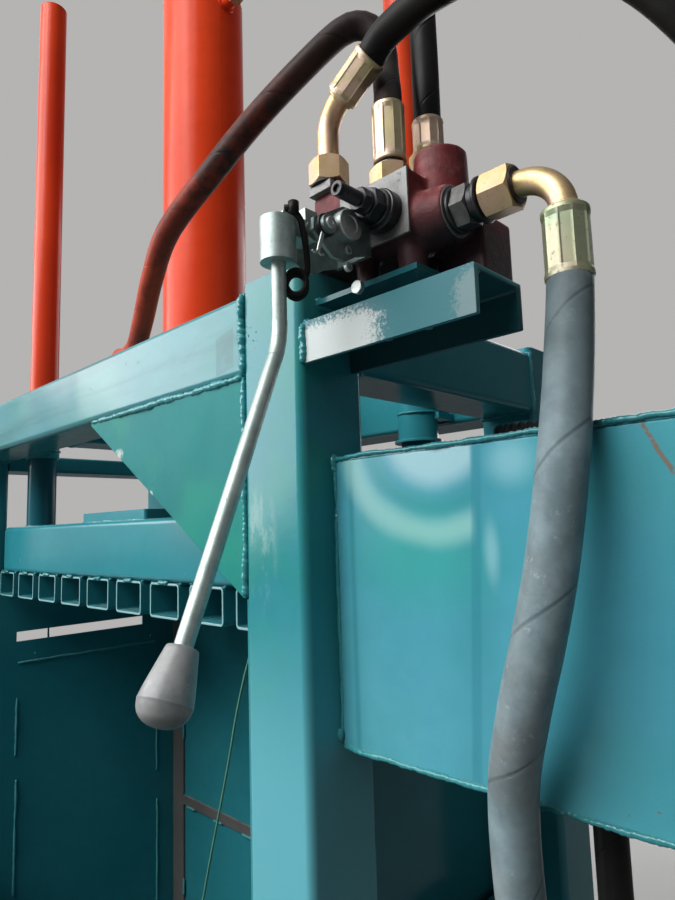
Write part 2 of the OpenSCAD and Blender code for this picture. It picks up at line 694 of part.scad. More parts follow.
// The left edge of the front is folded back a little, the corners are welded square.
module tank_outline(l, d, f) polygon([[0, fold_in * f / tank_fold], [f, 0], [l, 0], [l, d], [0, d]]);
fold_in = 7;
module oil_tank() {
    color(teal) translate([tank_x, tank_y, tank_z]) difference() {
        linear_extrude(tank_h - tank_wall) tank_outline(tank_l, tank_d, tank_fold);
        translate([tank_wall, tank_wall, tank_wall]) linear_extrude(tank_h)
            tank_outline(tank_l - 2 * tank_wall, tank_d - 2 * tank_wall, tank_fold - tank_wall);
        translate([suction_dx, suction_dy, -1]) cylinder(d = 20, h = tank_wall + 2, $fn = 32);
    }
}
module tank_lid() {
    lid_z = tank_z + tank_h - tank_wall;
    color(teal) difference() {
        union() {
            translate([tank_x, tank_y, lid_z]) linear_extrude(tank_wall) tank_outline(tank_l, tank_d, tank_fold);
            rod_z(lid_z, lid_z + 26, tank_x + 120, tank_y + 220, 60);
            rod_z(lid_z + 26, lid_z + 46, tank_x + 120, tank_y + 220, 74);
        }
        rod_z(lid_z - 1, lid_z + tank_wall + 1, return_x, return_y, 20);
    }
}

// A tube swept along a route: rings of eight or ten points, joined side by side, with flat ends.
function unit(v) = v / norm(v);
function bezier(p, i, t) = let (
    a = p[max(i - 1, 0)], b = p[i], c = p[i + 1], d = p[min(i + 2, len(p) - 1)],
    t2 = t * t, t3 = t2 * t
) 0.5 * (2 * b + (c - a) * t + (2 * a - 5 * b + 4 * c - d) * t2 + (3 * b - a - 3 * c + d) * t3);
function line(p, step) = concat(
    [for (i = [0:len(p) - 2]) let (n = max(1, round(norm(p[i + 1] - p[i]) / step))) for (k = [0:n - 1]) bezier(p, i, k / n)],
    [p[len(p) - 1]]
);
function heading(q, i) = i == 0 ? unit(q[1] - q[0]) : i == len(q) - 1 ? unit(q[i] - q[i - 1]) : unit(q[i + 1] - q[i - 1]);
// Each frame's side vector is carried on from the last, so that the tube doesn't twist.
function sides(q, i, s) = let (
    h = heading(q, i), v = unit(s - h * (s * h))
) i == len(q) - 1 ? [v] : concat([v], sides(q, i + 1, v));
module sweep(p, d, first, last, side, n = 8, step = 70) {
    q = line(p, step);
    m = len(q);
    s = sides(q, 0, side);
    pts = [for (i = [0:m - 1]) let (
        h = i == 0 ? first : i == m - 1 ? last : heading(q, i), u = unit(s[i] - h * (s[i] * h)), w = cross(h, u)
    ) for (k = [0:n - 1]) q[i] + d / 2 * (cos(360 * k / n) * u + sin(360 * k / n) * w)];
    walls = [for (i = [0:m - 2], k = [0:n - 1]) let (j = (k + 1) % n)
        each [[i * n + k, (i + 1) * n + k, (i + 1) * n + j], [i * n + k, (i + 1) * n + j, i * n + j]]];
    ends = [[for (k = [0:n - 1]) k], [for (k = [0:n - 1]) m * n - 1 - k]];
    polyhedron(pts, concat(walls, ends));
}
up = [0, 0, 1];
right = [1, 0, 0];
hose_a_d = 32;
hose_b_d = 31;
hose_d_d = 40;
hose_e_d = 28;
a_dir = [sin(a_bend) * cos(a_head), sin(a_bend) * sin(a_head), cos(a_bend)];
a_start = a_end + ferrule_l * a_dir;
a_route = [a_start, a_start + 30 * a_dir, [800, -277, 2078], [880, -266, 2068], [950, -237, 2025],
    [1000, -203, 1955], [1030, -150, 1880], [1040, -112, 1800], [return_x, return_y, tank_z + tank_h + 85]];
b_route = [[port_b[0], port_b[1], b_base + b_len], [708, -245, 2032], [700, -236, 2054], [692, -227, 2080], [687, -222, 2105],
    [682, -223, 2129], [668, -234, 2147], [646, -250, 2143], [602, -276, 2105], [545, -302, 2057], [492, -320, 2013],
    [405, -334, 1958], [330, -316, 1920], [245, -284, 1884], [164, -252, 1868], [80, -226, 1872], [22, -206, 1888], [0, cyl_y - cyl_d / 2 - 82, port_z]];
c_route = [[port_c[0], port_c[1], c_base + c_len], [723, -193, 2120], [716, -186, 2260], [690, -168, 2420], [620, -140, 2560],
    [500, -100, 2650], [330, -45, 2690], [200, -12, 2698], [cyl_d / 2 + 87, cyl_y, cap_port_z]];
d_route = [[d_x2 + d_r, port_d[1], port_d[2] - d_r - 62], [907, -262, 1730], [906, -285, 1660], [904, -304, 1600],
    [896, -314, 1532], [884, -320, 1475], [866, -316, 1420], [846, -302, 1360], [838, -290, 1290], [838, -280, 1220],
    [d_low[0], d_low[1], pump_top + 72]];
e_route = [[suction_x, suction_y, tank_z - 10], [suction_x, suction_y, pump_top + 12]];
module hose_a() color(rubber) sweep(a_route, hose_a_d, a_dir, -up, [0, 0, 1], 10, 75);
module hose_b() color(rubber) sweep(b_route, hose_b_d, up, [0, 1, 0], [0, 1, 0], 10, 75);
module hose_c() color(rubber) sweep(c_route, hose_b_d, up, -right, [0, 1, 0], 10, 90);
module hose_d() color(rubber) sweep(d_route, hose_d_d, -up, -up, [0, 1, 0], 10, 90);
module hose_e() color(rubber) sweep(e_route, hose_e_d, -up, -up, [0, 1, 0], 10, 80);
twine_route = [[half_w, -250, 1560], [436, -246, 1371], [394, -244, 1246], [338, -243, 1075], [290, -243, 900], [262, -243, 500],
    [258, -243, floor_z]];
module twine() color("#7ccf8e") sweep(twine_route, 3, unit(twine_route[1] - twine_route[0]), -up, [0, 1, 0], 8, 1000);

post_front_right();
post_front_left();
post_rear_right();
post_rear_left();
foot_plates();
beam_top_front();
beam_top_rear();
beam_top_right();
tie_top_left();
corner_gusset();
crosshead_beams();
crosshead_plate();
guide_bushes();
base_rails();
floor_joists();
chamber_floor();
wall_left();
wall_right();
wall_back();
wall_spacers();
back_rail();
chamber_rails();
bale_door();
door_ribs();
door_hinge_straps();
hinge_lugs();
door_pins();
latch_bar();
cylinder_barrel();
cylinder_cap();
cylinder_gland();
piston();
piston_rod();
platen_front_beam();
platen_frame();
platen_tubes();
platen_plate();
guide_tubes();
flange_bolts();
valve_channel();
valve_plate();
valve_body();
valve_spool();
relief_valve();
lever_bracket();
lever_hub();
lever_knob();
pipe_fittings();
hose_ferrules();
hose_a();
hose_b();
hose_c();
hose_d();
hose_e();
oil_tank();
tank_lid();
pack_shelf();
pump_motor();
oil_pump();
twine();
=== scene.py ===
"""Looks of the recycling baler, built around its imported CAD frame.

Shapes are in millimetres until a mesh is made. Places inside the finishes are in metres.
"""

from math import cos, degrees, pi, radians, sin, sqrt

import bpy
from mathutils import Matrix, Vector, noise


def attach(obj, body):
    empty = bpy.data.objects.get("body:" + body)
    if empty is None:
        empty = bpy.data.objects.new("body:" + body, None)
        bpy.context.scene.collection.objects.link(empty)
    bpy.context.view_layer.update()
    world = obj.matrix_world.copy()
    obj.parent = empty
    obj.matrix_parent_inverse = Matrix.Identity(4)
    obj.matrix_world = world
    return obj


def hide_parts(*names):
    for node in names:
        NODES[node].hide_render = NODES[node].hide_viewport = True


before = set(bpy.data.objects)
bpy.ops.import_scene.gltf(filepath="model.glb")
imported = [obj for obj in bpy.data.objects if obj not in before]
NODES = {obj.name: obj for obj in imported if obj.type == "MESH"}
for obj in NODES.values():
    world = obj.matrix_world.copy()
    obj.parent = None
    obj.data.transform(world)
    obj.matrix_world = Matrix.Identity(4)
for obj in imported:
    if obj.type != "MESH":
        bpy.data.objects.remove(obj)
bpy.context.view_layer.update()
scene = bpy.context.scene
MM = 0.001
ON_AXIS = 1e-6
MERGE_METRES = 2e-5
RANDOM_SEED = 7
X, Y, Z = Vector((1, 0, 0)), Vector((0, 1, 0)), Vector((0, 0, 1))

# Places that several shapes share. AXIS_Y is the depth of the cylinder's axis.
AXIS_Y = -5
BEAM_Z, TIE_Z, BASE_Z = (1741, 1839), (1741, 1779), (104, 202)
GUIDES = [(s, s * 424, AXIS_Y + s * 167) for s in (-1, 1)]
PORT_A, PORT_B, PORT_C = (643, -275), (712.5, -251.5), (724, -195)
PORT_D = (-250, 1863)
RETURN, PUMP, MOTOR = (1040, -105), (842, -276), (875, -200)


def vec(*p):
    return Vector(p)


def angles(count, span=2 * pi, closed=False):
    """Equal steps over an angle, with its end if closed."""
    return [span * k / count for k in range(count + closed)]


def about(middle, half=49):
    """Both ends of a stretch, from its middle. Half a weld round a 100 mm tube is 49."""
    return middle - half, middle + half


# ---------------------------------------------------------------- camera
def make_camera():
    data = bpy.data.cameras.new("camera")
    data.lens, data.sensor_width = 25.6, 36
    data.clip_start, data.clip_end = 0.02, 200
    cam = bpy.data.objects.new("camera", data)
    place = vec(1.1155, -0.762, 1.56)
    yaw, pitch, roll = radians(44.13), radians(6.92), radians(-1.77)
    look = vec(-sin(yaw) * cos(pitch), cos(yaw) * cos(pitch), sin(pitch))
    side = vec(cos(yaw), sin(yaw), 0)
    over = side.cross(look)
    right = side * cos(roll) + over * sin(roll)
    top = over * cos(roll) - side * sin(roll)
    cam.matrix_world = Matrix.Translation(place) @ Matrix((right, top, -look)).transposed().to_4x4()
    scene.collection.objects.link(cam)
    scene.camera = cam


make_camera()


# ---------------------------------------------------------------- meshes
class Shape:
    """Vertices, faces and UVs that are gathered before an object is made."""

    def __init__(self, verts=(), faces=(), uvs=None):
        self.verts, self.faces, self.uvs = [], [], []
        self.add(verts, faces, uvs)

    def add(self, verts, faces, uvs=None):
        first = len(self.verts)
        self.verts += verts
        self.faces += [[i + first for i in f] for f in faces]
        self.uvs += uvs or [[(0, 0)] * len(f) for f in faces]

    def put(self, other, at=None, along=Z, spin=0.0):
        """Adds a shape, with its origin at a point and its Z along a heading if they are given."""
        verts = other.verts
        if at is not None:
            matrix = basis(at, along, spin)
            verts = [matrix @ v for v in verts]
        self.add(verts, other.faces, other.uvs)
        return self


def put_all(*rows):
    """Puts parts into shapes. A row is the shape, the part and then its place, heading and spin."""
    for target, part, *where in rows:
        target.put(part, *where)


def piece(name, shape, body, slot, material, sharp=35, bevel=0, replaces=(), segments=2):
    """Makes the object of a shape, lets it ride on its body and gives it its material."""
    mesh = bpy.data.meshes.new(name)
    mesh.from_pydata([v * MM for v in shape.verts], [], shape.faces)
    layer = mesh.uv_layers.new(name="UVMap")
    layer.data.foreach_set("uv", [c for face in shape.uvs for uv in face for c in uv])
    mesh.materials.append(material)
    mesh.polygons.foreach_set("use_smooth", [True] * len(mesh.polygons))
    mesh.validate()
    mesh.update()
    mesh.set_sharp_from_angle(angle=radians(sharp))
    obj = bpy.data.objects.new(name, mesh)
    scene.collection.objects.link(obj)
    if bevel:
        round_edges(obj, bevel, segments, sharp)
    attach(obj, body)
    if replaces:
        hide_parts(*replaces)
    return obj


def round_edges(obj, width, segments=2, angle=50):
    mod = obj.modifiers.new("round", "BEVEL")
    mod.width, mod.segments, mod.limit_method, mod.angle_limit = width * MM, segments, "ANGLE", radians(angle)
    mod.use_clamp_overlap = True
    normals = obj.modifiers.new("normals", "WEIGHTED_NORMAL")
    normals.keep_sharp = True


def basis(at, along=Z, spin=0.0):
    """Matrix that takes +Z to the given heading and puts the origin at a point."""
    turn = Z.rotation_difference(along.normalized()).to_matrix().to_4x4()
    return Matrix.Translation(Vector(at)) @ turn @ Matrix.Rotation(radians(spin), 4, "Z")


def skin(rows):
    """Faces between neighbouring rings of vertex numbers. A ring that repeats one number is a pole."""
    faces = []
    for low, high in zip(rows, rows[1:]):
        for k in range(len(low)):
            j = (k + 1) % len(low)
            loop = [low[k], low[j], high[j], high[k]]
            faces.append([v for i, v in enumerate(loop) if v != loop[i - 1]])
    return faces


def number_rows(count, sides):
    return [list(range(i * sides, (i + 1) * sides)) for i in range(count)]


def lathe(profile, sides=48, wobble=None):
    """A closed turned shape about Z from (radius, height) points, bottom to top.

    wobble takes a radius, its height and its angle, and gives the radius there.
    """
    verts, rows = [], []
    for r, z in profile:
        first = len(verts)
        if r < ON_AXIS:
            rows.append([first] * sides)
            verts.append(vec(0, 0, z))
            continue
        rows.append(list(range(first, first + sides)))
        for a in angles(sides):
            q = wobble(r, z, a) if wobble else r
            verts.append(vec(q * cos(a), q * sin(a), z))
    faces = skin(rows)
    if rows[0][0] != rows[0][1]:
        faces.append(rows[0][::-1])
    if rows[-1][0] != rows[-1][1]:
        faces.append(rows[-1])
    return Shape(verts, faces)


def ring(profile, sides=48):
    """As lathe, but the profile is a closed loop that stays off the axis."""
    shape = lathe(profile + [profile[0]], sides)
    return Shape(shape.verts, shape.faces[: sides * len(profile)])


def washer(bore, r, edge, low, high, top):
    """A flat ring whose rounded rim runs from one height to another."""
    return ring([(bore, 0), (r - edge, 0), (r, low), (r, high), (r - edge, top), (bore, top)], 40)


def sleeve(h, r):
    """Short turned collar with rounded rims."""
    c = min(1.2, h * 0.25, r * 0.2)
    return lathe([(r - c, 0), (r, c), (r, h - c), (r - c, h)], 56)


def cone(r0, r1, h):
    return lathe([(r0, 0), (r1, h)])


def socket_head(r, h, hole, floor, sides):
    """Head of a socket screw, with a round hole in place of the six flats."""
    return lathe([(r, 0), (r, h - 0.6), (r - 0.6, h), (hole, h), (hole, floor), (0, floor)], sides)


def nut(af, h, chamfer=0.98):
    """A hexagon with turned chamfers, which give its faces their curved edges. af is the size across its flats."""
    sides, low = 60, af / 2 * chamfer
    rings = [[], [], [], []]
    for a in angles(sides):
        r = af / 2 / cos((a + pi / 6) % (pi / 3) - pi / 6)
        drop = max(r - low, 0) * 0.6 + 0.02
        for row, (q, z) in zip(rings, ((min(r, low), 0), (r, drop), (r, h - drop), (min(r, low), h))):
            row.append(vec(q * cos(a), q * sin(a), z))
    rows = number_rows(4, sides)
    return Shape(sum(rings, []), skin(rows) + [rows[0][::-1], rows[3]])


def bolt_head(af, h):
    return nut(af, h, 0.97)


def block(lo, hi):
    """Closed box between two corners."""
    (x0, y0, z0), (x1, y1, z1) = lo, hi
    verts = [vec(x, y, z) for z in (z0, z1) for x, y in ((x0, y0), (x1, y0), (x1, y1), (x0, y1))]
    return Shape(verts, [[3, 2, 1, 0], [4, 5, 6, 7], [0, 1, 5, 4], [1, 2, 6, 5], [2, 3, 7, 6], [3, 0, 4, 7]])


def catmull(p, step):
    """The same smooth line as in part.scad, through given points."""
    out = []
    for i in range(len(p) - 1):
        a, b, c, d = p[max(i - 1, 0)], p[i], p[i + 1], p[min(i + 2, len(p) - 1)]
        n = max(1, round((c - b).length / step))
        for k in range(n):
            t = k / n
            out.append(0.5 * (2 * b + (c - a) * t + (2 * a - 5 * b + 4 * c - d) * t * t
                              + (3 * b - a - 3 * c + d) * t * t * t))
    return out + [p[-1].copy()]


def sweep(q, radius, sides, first=None, last=None, closed=False):
    """A tube along points, with its end headings if given.

    radius is a number or a function of the distance along it and the angle round it.
    """
    n = len(q)
    if closed:
        head = [(q[(i + 1) % n] - q[i - 1]).normalized() for i in range(n)]
    else:
        head = [(q[min(i + 1, n - 1)] - q[max(i - 1, 0)]).normalized() for i in range(n)]
        head[0], head[-1] = first or head[0], last or head[-1]
    far = [0.0]
    for a, b in zip(q, q[1:]):
        far.append(far[-1] + (b - a).length)
    verts, uvs = [], []
    u = head[0].orthogonal().normalized()
    for s, p, h in zip(far, q, head):
        u = (u - h * u.dot(h)).normalized()
        w = h.cross(u)
        for a in angles(sides):
            r = radius(s, a) if callable(radius) else radius
            verts.append(p + (u * cos(a) + w * sin(a)) * r)
    rows = number_rows(n, sides)
    faces = skin(rows + rows[:closed])
    for i in range(n - 1 + closed):
        v0, v1 = far[i] * MM, far[min(i + 1, n - 1)] * MM
        uvs += [[(u0, v0), (u1, v0), (u1, v1), (u0, v1)]
                for u0, u1 in ((k / sides, (k + 1) / sides) for k in range(sides))]
    if not closed:
        faces += [rows[0][::-1], rows[-1]]
        uvs += [[(0, 0)] * sides] * 2
    return Shape(verts, faces, uvs)


# ---------------------------------------------------------------- finishes
class Nodes:
    """A node tree with short calls for what the finishes and the world share."""

    def __init__(self, tree, output):
        self.tree = tree
        tree.nodes.clear()
        self.out = tree.nodes.new(output).inputs["Surface"]
        self.coords = self.node("ShaderNodeTexCoord").outputs
        self.at = self.coords["Object"]

    def node(self, kind, inputs=(), **props):
        made = self.tree.nodes.new(kind)
        for key, value in props.items():
            setattr(made, key, value)
        for key, value in dict(inputs).items():
            self.plug(made.inputs[key], value)
        return made

    def plug(self, socket, value):
        if isinstance(value, bpy.types.NodeSocket):
            self.tree.links.new(value, socket)
        elif socket.type == "RGBA" and len(value) == 3:
            socket.default_value = (*value, 1)
        else:
            socket.default_value = value

    def math(self, op, a, b=0.0, clamp=False):
        return self.node("ShaderNodeMath", {0: a, 1: b}, operation=op, use_clamp=clamp).outputs[0]

    def vector(self, op, a, b=(0, 0, 0), out=0):
        return self.node("ShaderNodeVectorMath", {0: a, 1: b}, operation=op).outputs[out]

    def mul(self, made, *factors):
        for factor in factors:
            made = self.math("MULTIPLY", made, factor)
        return made

    def off(self, a, b):
        """How far two values lie apart."""
        return self.math("ABSOLUTE", self.math("SUBTRACT", a, b))

    def span(self, a, b):
        """Length of the vector of two values."""
        return self.math("SQRT", self.math("ADD", self.mul(a, a), self.mul(b, b)))

    def step(self, value, low, high, out_low=0.0, out_high=1.0):
        """Smooth step of a value from low to high."""
        inputs = {0: value, 1: low, 2: high, 3: out_low, 4: out_high}
        return self.node("ShaderNodeMapRange", inputs, interpolation_type="SMOOTHSTEP").outputs[0]

    def fade(self, value, low, high, top=1.0):
        """The step that falls: top below low and nothing above high."""
        return self.step(value, low, high, top, 0.0)

    def noise(self, scale, detail=2.0, rough=0.5, at=None, warp=0.0):
        inputs = {"Vector": at or self.at, "Scale": scale, "Detail": detail, "Roughness": rough, "Distortion": warp}
        return self.node("ShaderNodeTexNoise", inputs).outputs["Fac"]

    def cloud(self, low, high, *grain, **more):
        """Noise stepped from low to high."""
        return self.step(self.noise(*grain, **more), low, high)

    def wander(self, value, reach, *grain):
        """A value that noise moves up and down."""
        return self.math("ADD", value, self.mul(self.math("SUBTRACT", self.noise(*grain), 0.5), reach))

    def mix(self, share, a, b):
        return self.node("ShaderNodeMix", {0: share, 6: a, 7: b}, data_type="RGBA").outputs[2]

    def coat(self, color, tone, *shares):
        """Lays a tone over a colour, as strongly as the product of the shares."""
        return self.mix(self.mul(*shares), color, tone)

    def blend(self, share, a, b):
        return self.node("ShaderNodeMix", {0: share, 2: a, 3: b}, data_type="FLOAT").outputs[0]

    def axes(self, vector=None):
        return list(self.node("ShaderNodeSeparateXYZ", {0: vector or self.at}).outputs)

    def facing(self, axis=2):
        """How much a face looks along an axis."""
        return self.axes(self.node("ShaderNodeNewGeometry").outputs["Normal"])[axis]

    def bump(self, height, strength, distance, normal=None):
        inputs = {"Height": height, "Strength": strength, "Distance": distance}
        if normal:
            inputs["Normal"] = normal
        return self.node("ShaderNodeBump", inputs).outputs[0]

    def spot(self, at, size, soft=0.5):
        """1 inside an ellipsoid given in metres, fading to 0 at its skin."""
        off = self.vector("DIVIDE", self.vector("SUBTRACT", self.at, at), size)
        return self.fade(self.vector("LENGTH", off, out="Value"), soft, 1.0)

    def stretch(self, x, y, z):
        return self.node("ShaderNodeMapping", {"Vector": self.at, "Scale": (x, y, z)}).outputs[0]

    def rays(self):
        """Camera rays, mirrored rays, and both with the rays that went through glass."""
        path = self.node("ShaderNodeLightPath").outputs
        camera, glossy = path["Is Camera Ray"], path["Is Glossy Ray"]
        return camera, glossy, self.math("MAXIMUM", self.math("MAXIMUM", camera, glossy), path["Is Transmission Ray"])


class Paint(Nodes):
    """The nodes of a new material with a principled shader."""

    def __init__(self, name, rough=0.4, metal=0.0, gloss=0.5):
        self.mat = bpy.data.materials.new(name)
        self.mat.use_nodes = True
        super().__init__(self.mat.node_tree, "ShaderNodeOutputMaterial")
        inputs = {"Roughness": rough, "Metallic": metal, "Specular IOR Level": gloss}
        self.bsdf = self.node("ShaderNodeBsdfPrincipled", inputs)
        self.plug(self.out, self.bsdf.outputs[0])

    def use(self, color, rough=None, normal=None):
        for key, value in (("Base Color", color), ("Roughness", rough), ("Normal", normal)):
            if value is not None:
                self.plug(self.bsdf.inputs[key], value)
        return self.mat


DUST = (0.36, 0.33, 0.28)


def enamel(name, light, deep, rough=0.17, dust=0.35, peel=0.12, wave=0.3, dirt=0.35, gloss=0.22, extra=None):
    """Brushed-on glossy enamel.

    It has an uneven film, orange peel, wavy sheet, dust on what faces up, dirt near the floor and small chips.
    """
    p = Paint(name, gloss=gloss)
    color = p.mix(p.cloud(0.3, 0.72, 2.6, 3, 0.55), light, deep)
    color = p.coat(color, tuple(c * 0.72 for c in deep), p.cloud(0.35, 0.8, 38, 4, 0.6), 0.18)
    settled = p.mul(p.step(p.facing(), 0.75, 0.98), p.cloud(0.3, 0.75, 22, 5, 0.7), dust)
    splash = p.mul(p.fade(p.axes()[2], 0.05, 0.55), p.cloud(0.38, 0.7, 14, 6, 0.75), dirt)
    grime = p.math("MAXIMUM", settled, splash)
    color = p.mix(grime, color, DUST)
    chips = p.mul(p.cloud(0.735, 0.75, 95, 2, 0.6), p.cloud(0.5, 0.62, 4))
    color = p.coat(color, (0.16, 0.11, 0.08), chips, 0.8)
    if extra:
        color = extra(p, color)
    surface = p.math("ADD", p.blend(p.noise(9, 3), rough * 0.6, rough * 1.5), p.mul(grime, 0.5))
    surface = p.math("ADD", surface, p.mul(chips, 0.4), clamp=True)
    normal = p.bump(p.noise(5.5, 1.0, 0.4), wave, 0.004)
    normal = p.bump(p.noise(330, 1.5, 0.5), peel, 0.0006, normal)
    return p.use(color, surface, p.bump(p.math("SUBTRACT", 1.0, chips), 0.4, 0.0003, normal))


def metal(name, light, dark, rough=0.32, scale=60, grain=(1, 1, 1), speck=0.25, metallic=0.9, bump=0.1,
          tint=None, grain_scale=400):
    """Bare or plated metal: cloudy tone, fine grain and small dull specks."""
    p = Paint(name, metal=metallic)
    color = p.mix(p.cloud(0.3, 0.75, scale, 4, 0.6), light, dark)
    if tint:
        color = p.mix(p.cloud(0.38, 0.68, scale * 0.45, 2, 0.5, warp=1.2), color, tint)
    fine = p.noise(grain_scale, 3, 0.6, at=p.stretch(*grain))
    specks = p.cloud(0.62, 0.7, scale * 6, 2, 0.6)
    color = p.coat(color, tuple(c * 0.35 for c in dark), specks, speck)
    surface = p.math("ADD", p.blend(fine, rough * 0.75, rough * 1.3), p.mul(specks, 0.2), clamp=True)
    return p.use(color, surface, p.bump(fine, bump, 0.0004))


def green_film(p, color, share):
    """Patches in which the older, greener coat shows."""
    return p.coat(color, (0.022, 0.245, 0.185), p.cloud(0.48, 0.66, 5.5, 3, 0.6), share)


def beam_marks(p, color):
    """Painted sheen as a pale haze on the sunlit beam, darker streaks of painted reflection and a dull patch by the
    post weld.
    """
    # Painted sheen: a light pale haze over the whole beam.
    color = p.mix(0.10, green_film(p, color, 0.3), (0.30, 0.42, 0.42))
    x, _, z = p.axes()
    wide = p.fade(p.off(x, 0.4905), 0.0165, 0.019)
    high = p.fade(p.off(z, p.math("ADD", 1.6925, p.mul(x, 0.17))), 0.022, 0.026)
    # Painted reflection: darker streaks drawn out along the beam.
    reflection_streaks = p.cloud(0.42, 0.68, 11, 4, 0.6, at=p.stretch(0.22, 1, 2.2), warp=0.6)
    color = p.coat(color, (0.010, 0.125, 0.140), reflection_streaks, 0.6)
    return p.coat(color, (0.016, 0.105, 0.115), wide, high, p.step(p.noise(60, 4, 0.6), 0.3, 0.6, 0.25, 0.55))


def post_marks(p, color):
    """A paler, bluer tone towards the bottom, painted sheen high on the near post, flaky paler places below it and
    greener patches.
    """
    z = p.axes()[2]
    color = p.mix(p.fade(z, 1.25, 1.52, 0.75), green_film(p, color, 0.5), (0.115, 0.400, 0.465))
    # Painted sheen on the top of the post.
    color = p.coat(color, (0.34, 0.42, 0.41), p.step(z, 1.70, 2.0), 0.22)
    flaky = p.cloud(0.46, 0.60, 46, 5, 0.7, at=p.stretch(1, 1, 0.45))
    return p.coat(color, (0.26, 0.42, 0.41), p.spot((0.556, -0.31, 1.545), (0.030, 0.02, 0.085)), flaky, 0.45)


def gusset_marks(p, color):
    """Two small paler places on the green-filmed gusset."""
    color = green_film(p, color, 0.75)
    for at, size in (((0.220, -0.308, 1.679), (0.016, 0.02, 0.010)), ((0.3136, -0.308, 1.614), (0.006, 0.02, 0.006))):
        color = p.coat(color, (0.42, 0.50, 0.48), p.spot(at, size), p.cloud(0.35, 0.55, 160, 3))
    return color


def tank_marks(p, color):
    """Painted shade along the fold, a wider darker band of painted reflection, a greener place, pale and dark arcs of
    painted reflection, a thin line of painted shade, two pale spots and a brown scratch on the front.
    """
    x, y, z = p.axes()
    # Painted shade along the fold of the front sheet.
    color = p.coat(color, (0.012, 0.12, 0.15), p.fade(p.off(x, 0.655), 0.0, 0.006), 0.35)
    # Painted reflection: a wider darker band near x = 0.80 m.
    color = p.coat(color, (0.012, 0.13, 0.17), p.fade(p.off(x, 0.80), 0.004, 0.045), 0.22)
    slant = p.math("SUBTRACT", x, p.mul(p.math("SUBTRACT", 1.632, z), 0.49))
    scratch = p.fade(p.off(p.wander(slant, 0.004, 70, 3), 0.950), 0.0010, 0.0028)
    reach = p.mul(p.step(z, 1.588, 1.594), p.step(y, -0.26, -0.262))
    scratch = p.mul(scratch, reach, p.step(p.noise(180, 3), 0.34, 0.46, 0.25, 1.0))
    color = green_film(p, color, 0.2)
    color = p.coat(color, (0.030, 0.335, 0.275), p.spot((0.740, -0.269, 1.535), (0.120, 0.05, 0.075), 0.1), 0.5)
    # Painted reflection: pale, dark and pale arcs round one middle on the front.
    dx = p.math("DIVIDE", p.math("SUBTRACT", x, 0.765), 0.115)
    dz = p.math("DIVIDE", p.math("SUBTRACT", z, 1.650), 0.100)
    far = p.wander(p.span(dx, dz), 0.10, 14, 3)
    front = p.mul(p.fade(y, -0.262, -0.258), p.fade(x, 0.800, 0.807))
    for inner, outer, soft, share, tone in ((0.86, 1.09, 0.10, 0.52, (0.33, 0.60, 0.54)),
                                            (0.66, 0.79, 0.08, 0.45, (0.020, 0.235, 0.215)),
                                            (-1.0, 0.52, 0.12, 0.58, (0.42, 0.62, 0.66))):
        reflection_arc = p.mul(p.step(far, inner - soft, inner + soft), p.fade(far, outer - soft, outer + soft))
        color = p.coat(color, tone, reflection_arc, front, share)
    # Painted shade: a thin dark line slanting up the front near x = 0.80 m.
    shade_line = p.off(x, p.math("ADD", 0.7125, p.mul(z, 0.0593)))
    color = p.coat(color, (0.025, 0.19, 0.25), p.fade(shade_line, 0.003, 0.007), 0.5)
    for at, size in (((0.842, -0.269, 1.612), (0.034, 0.05, 0.030)), ((0.819, -0.269, 1.535), (0.011, 0.05, 0.040))):
        color = p.coat(color, (0.33, 0.58, 0.65), p.spot(at, size, 0.1), 0.4)
    return p.mix(scratch, color, (0.17, 0.145, 0.115))


def front_face_highlight(p, color):
    """Painted highlight: faces that look to the front, which are the sawn ends, turn a paler teal."""
    return p.mix(p.fade(p.facing(1), -0.98, -0.85, 0.7), color, (0.32, 0.49, 0.48))


def speckles(p, color):
    """Thin pale primer at the channel's end, where the spray gun only reached in specks, over a front face darkened
    with painted shade, with painted shade under the plate's edge and in its hollow.
    """
    x, y, z = p.axes()
    pale = p.math("MAXIMUM", p.fade(x, 0.700, 0.765, 0.9), p.step(x, 0.805, 0.832, 0.0, 0.9))
    # Painted shade: less primer just under the plate's edge, so the dark teal shows there.
    pale = p.math("SUBTRACT", pale, p.step(z, 1.762, 1.780, 0.0, 0.55))
    pale = p.step(p.wander(pale, 1.6, 330, 4, 0.75), 0.25, 0.75)
    ends = p.fade(y, -0.3048, -0.302)
    # Painted shade: the front face is darkened first.
    color = p.coat(color, (0.010, 0.105, 0.125), ends, 0.75)
    primer = p.mix(p.step(x, 0.77, 0.80), (0.54, 0.585, 0.57), (0.135, 0.215, 0.225))
    color = p.coat(color, primer, pale, ends, 0.9)
    # Painted shade in the channel's hollow.
    hollow_shade = p.mul(p.step(y, -0.3005, -0.2985), p.fade(z, 1.776, 1.7775))
    return p.coat(color, (0.006, 0.030, 0.036), hollow_shade, 0.8)


TEAL = (0.032, 0.235, 0.272), (0.019, 0.186, 0.226)
teal = enamel("teal_enamel", *TEAL)
teal_beam = enamel("teal_beam", *TEAL, wave=0.9, extra=beam_marks)
teal_post = enamel("teal_post", *TEAL, wave=0.42, extra=post_marks)
teal_gusset = enamel("teal_gusset", (0.022, 0.215, 0.215), (0.013, 0.160, 0.165), rough=0.3, gloss=0.035, wave=0.12,
                     extra=gusset_marks)
teal_weld = enamel("teal_weld", (0.035, 0.27, 0.29), (0.012, 0.16, 0.18), rough=0.12, wave=0.6, peel=0.5, gloss=0.4)
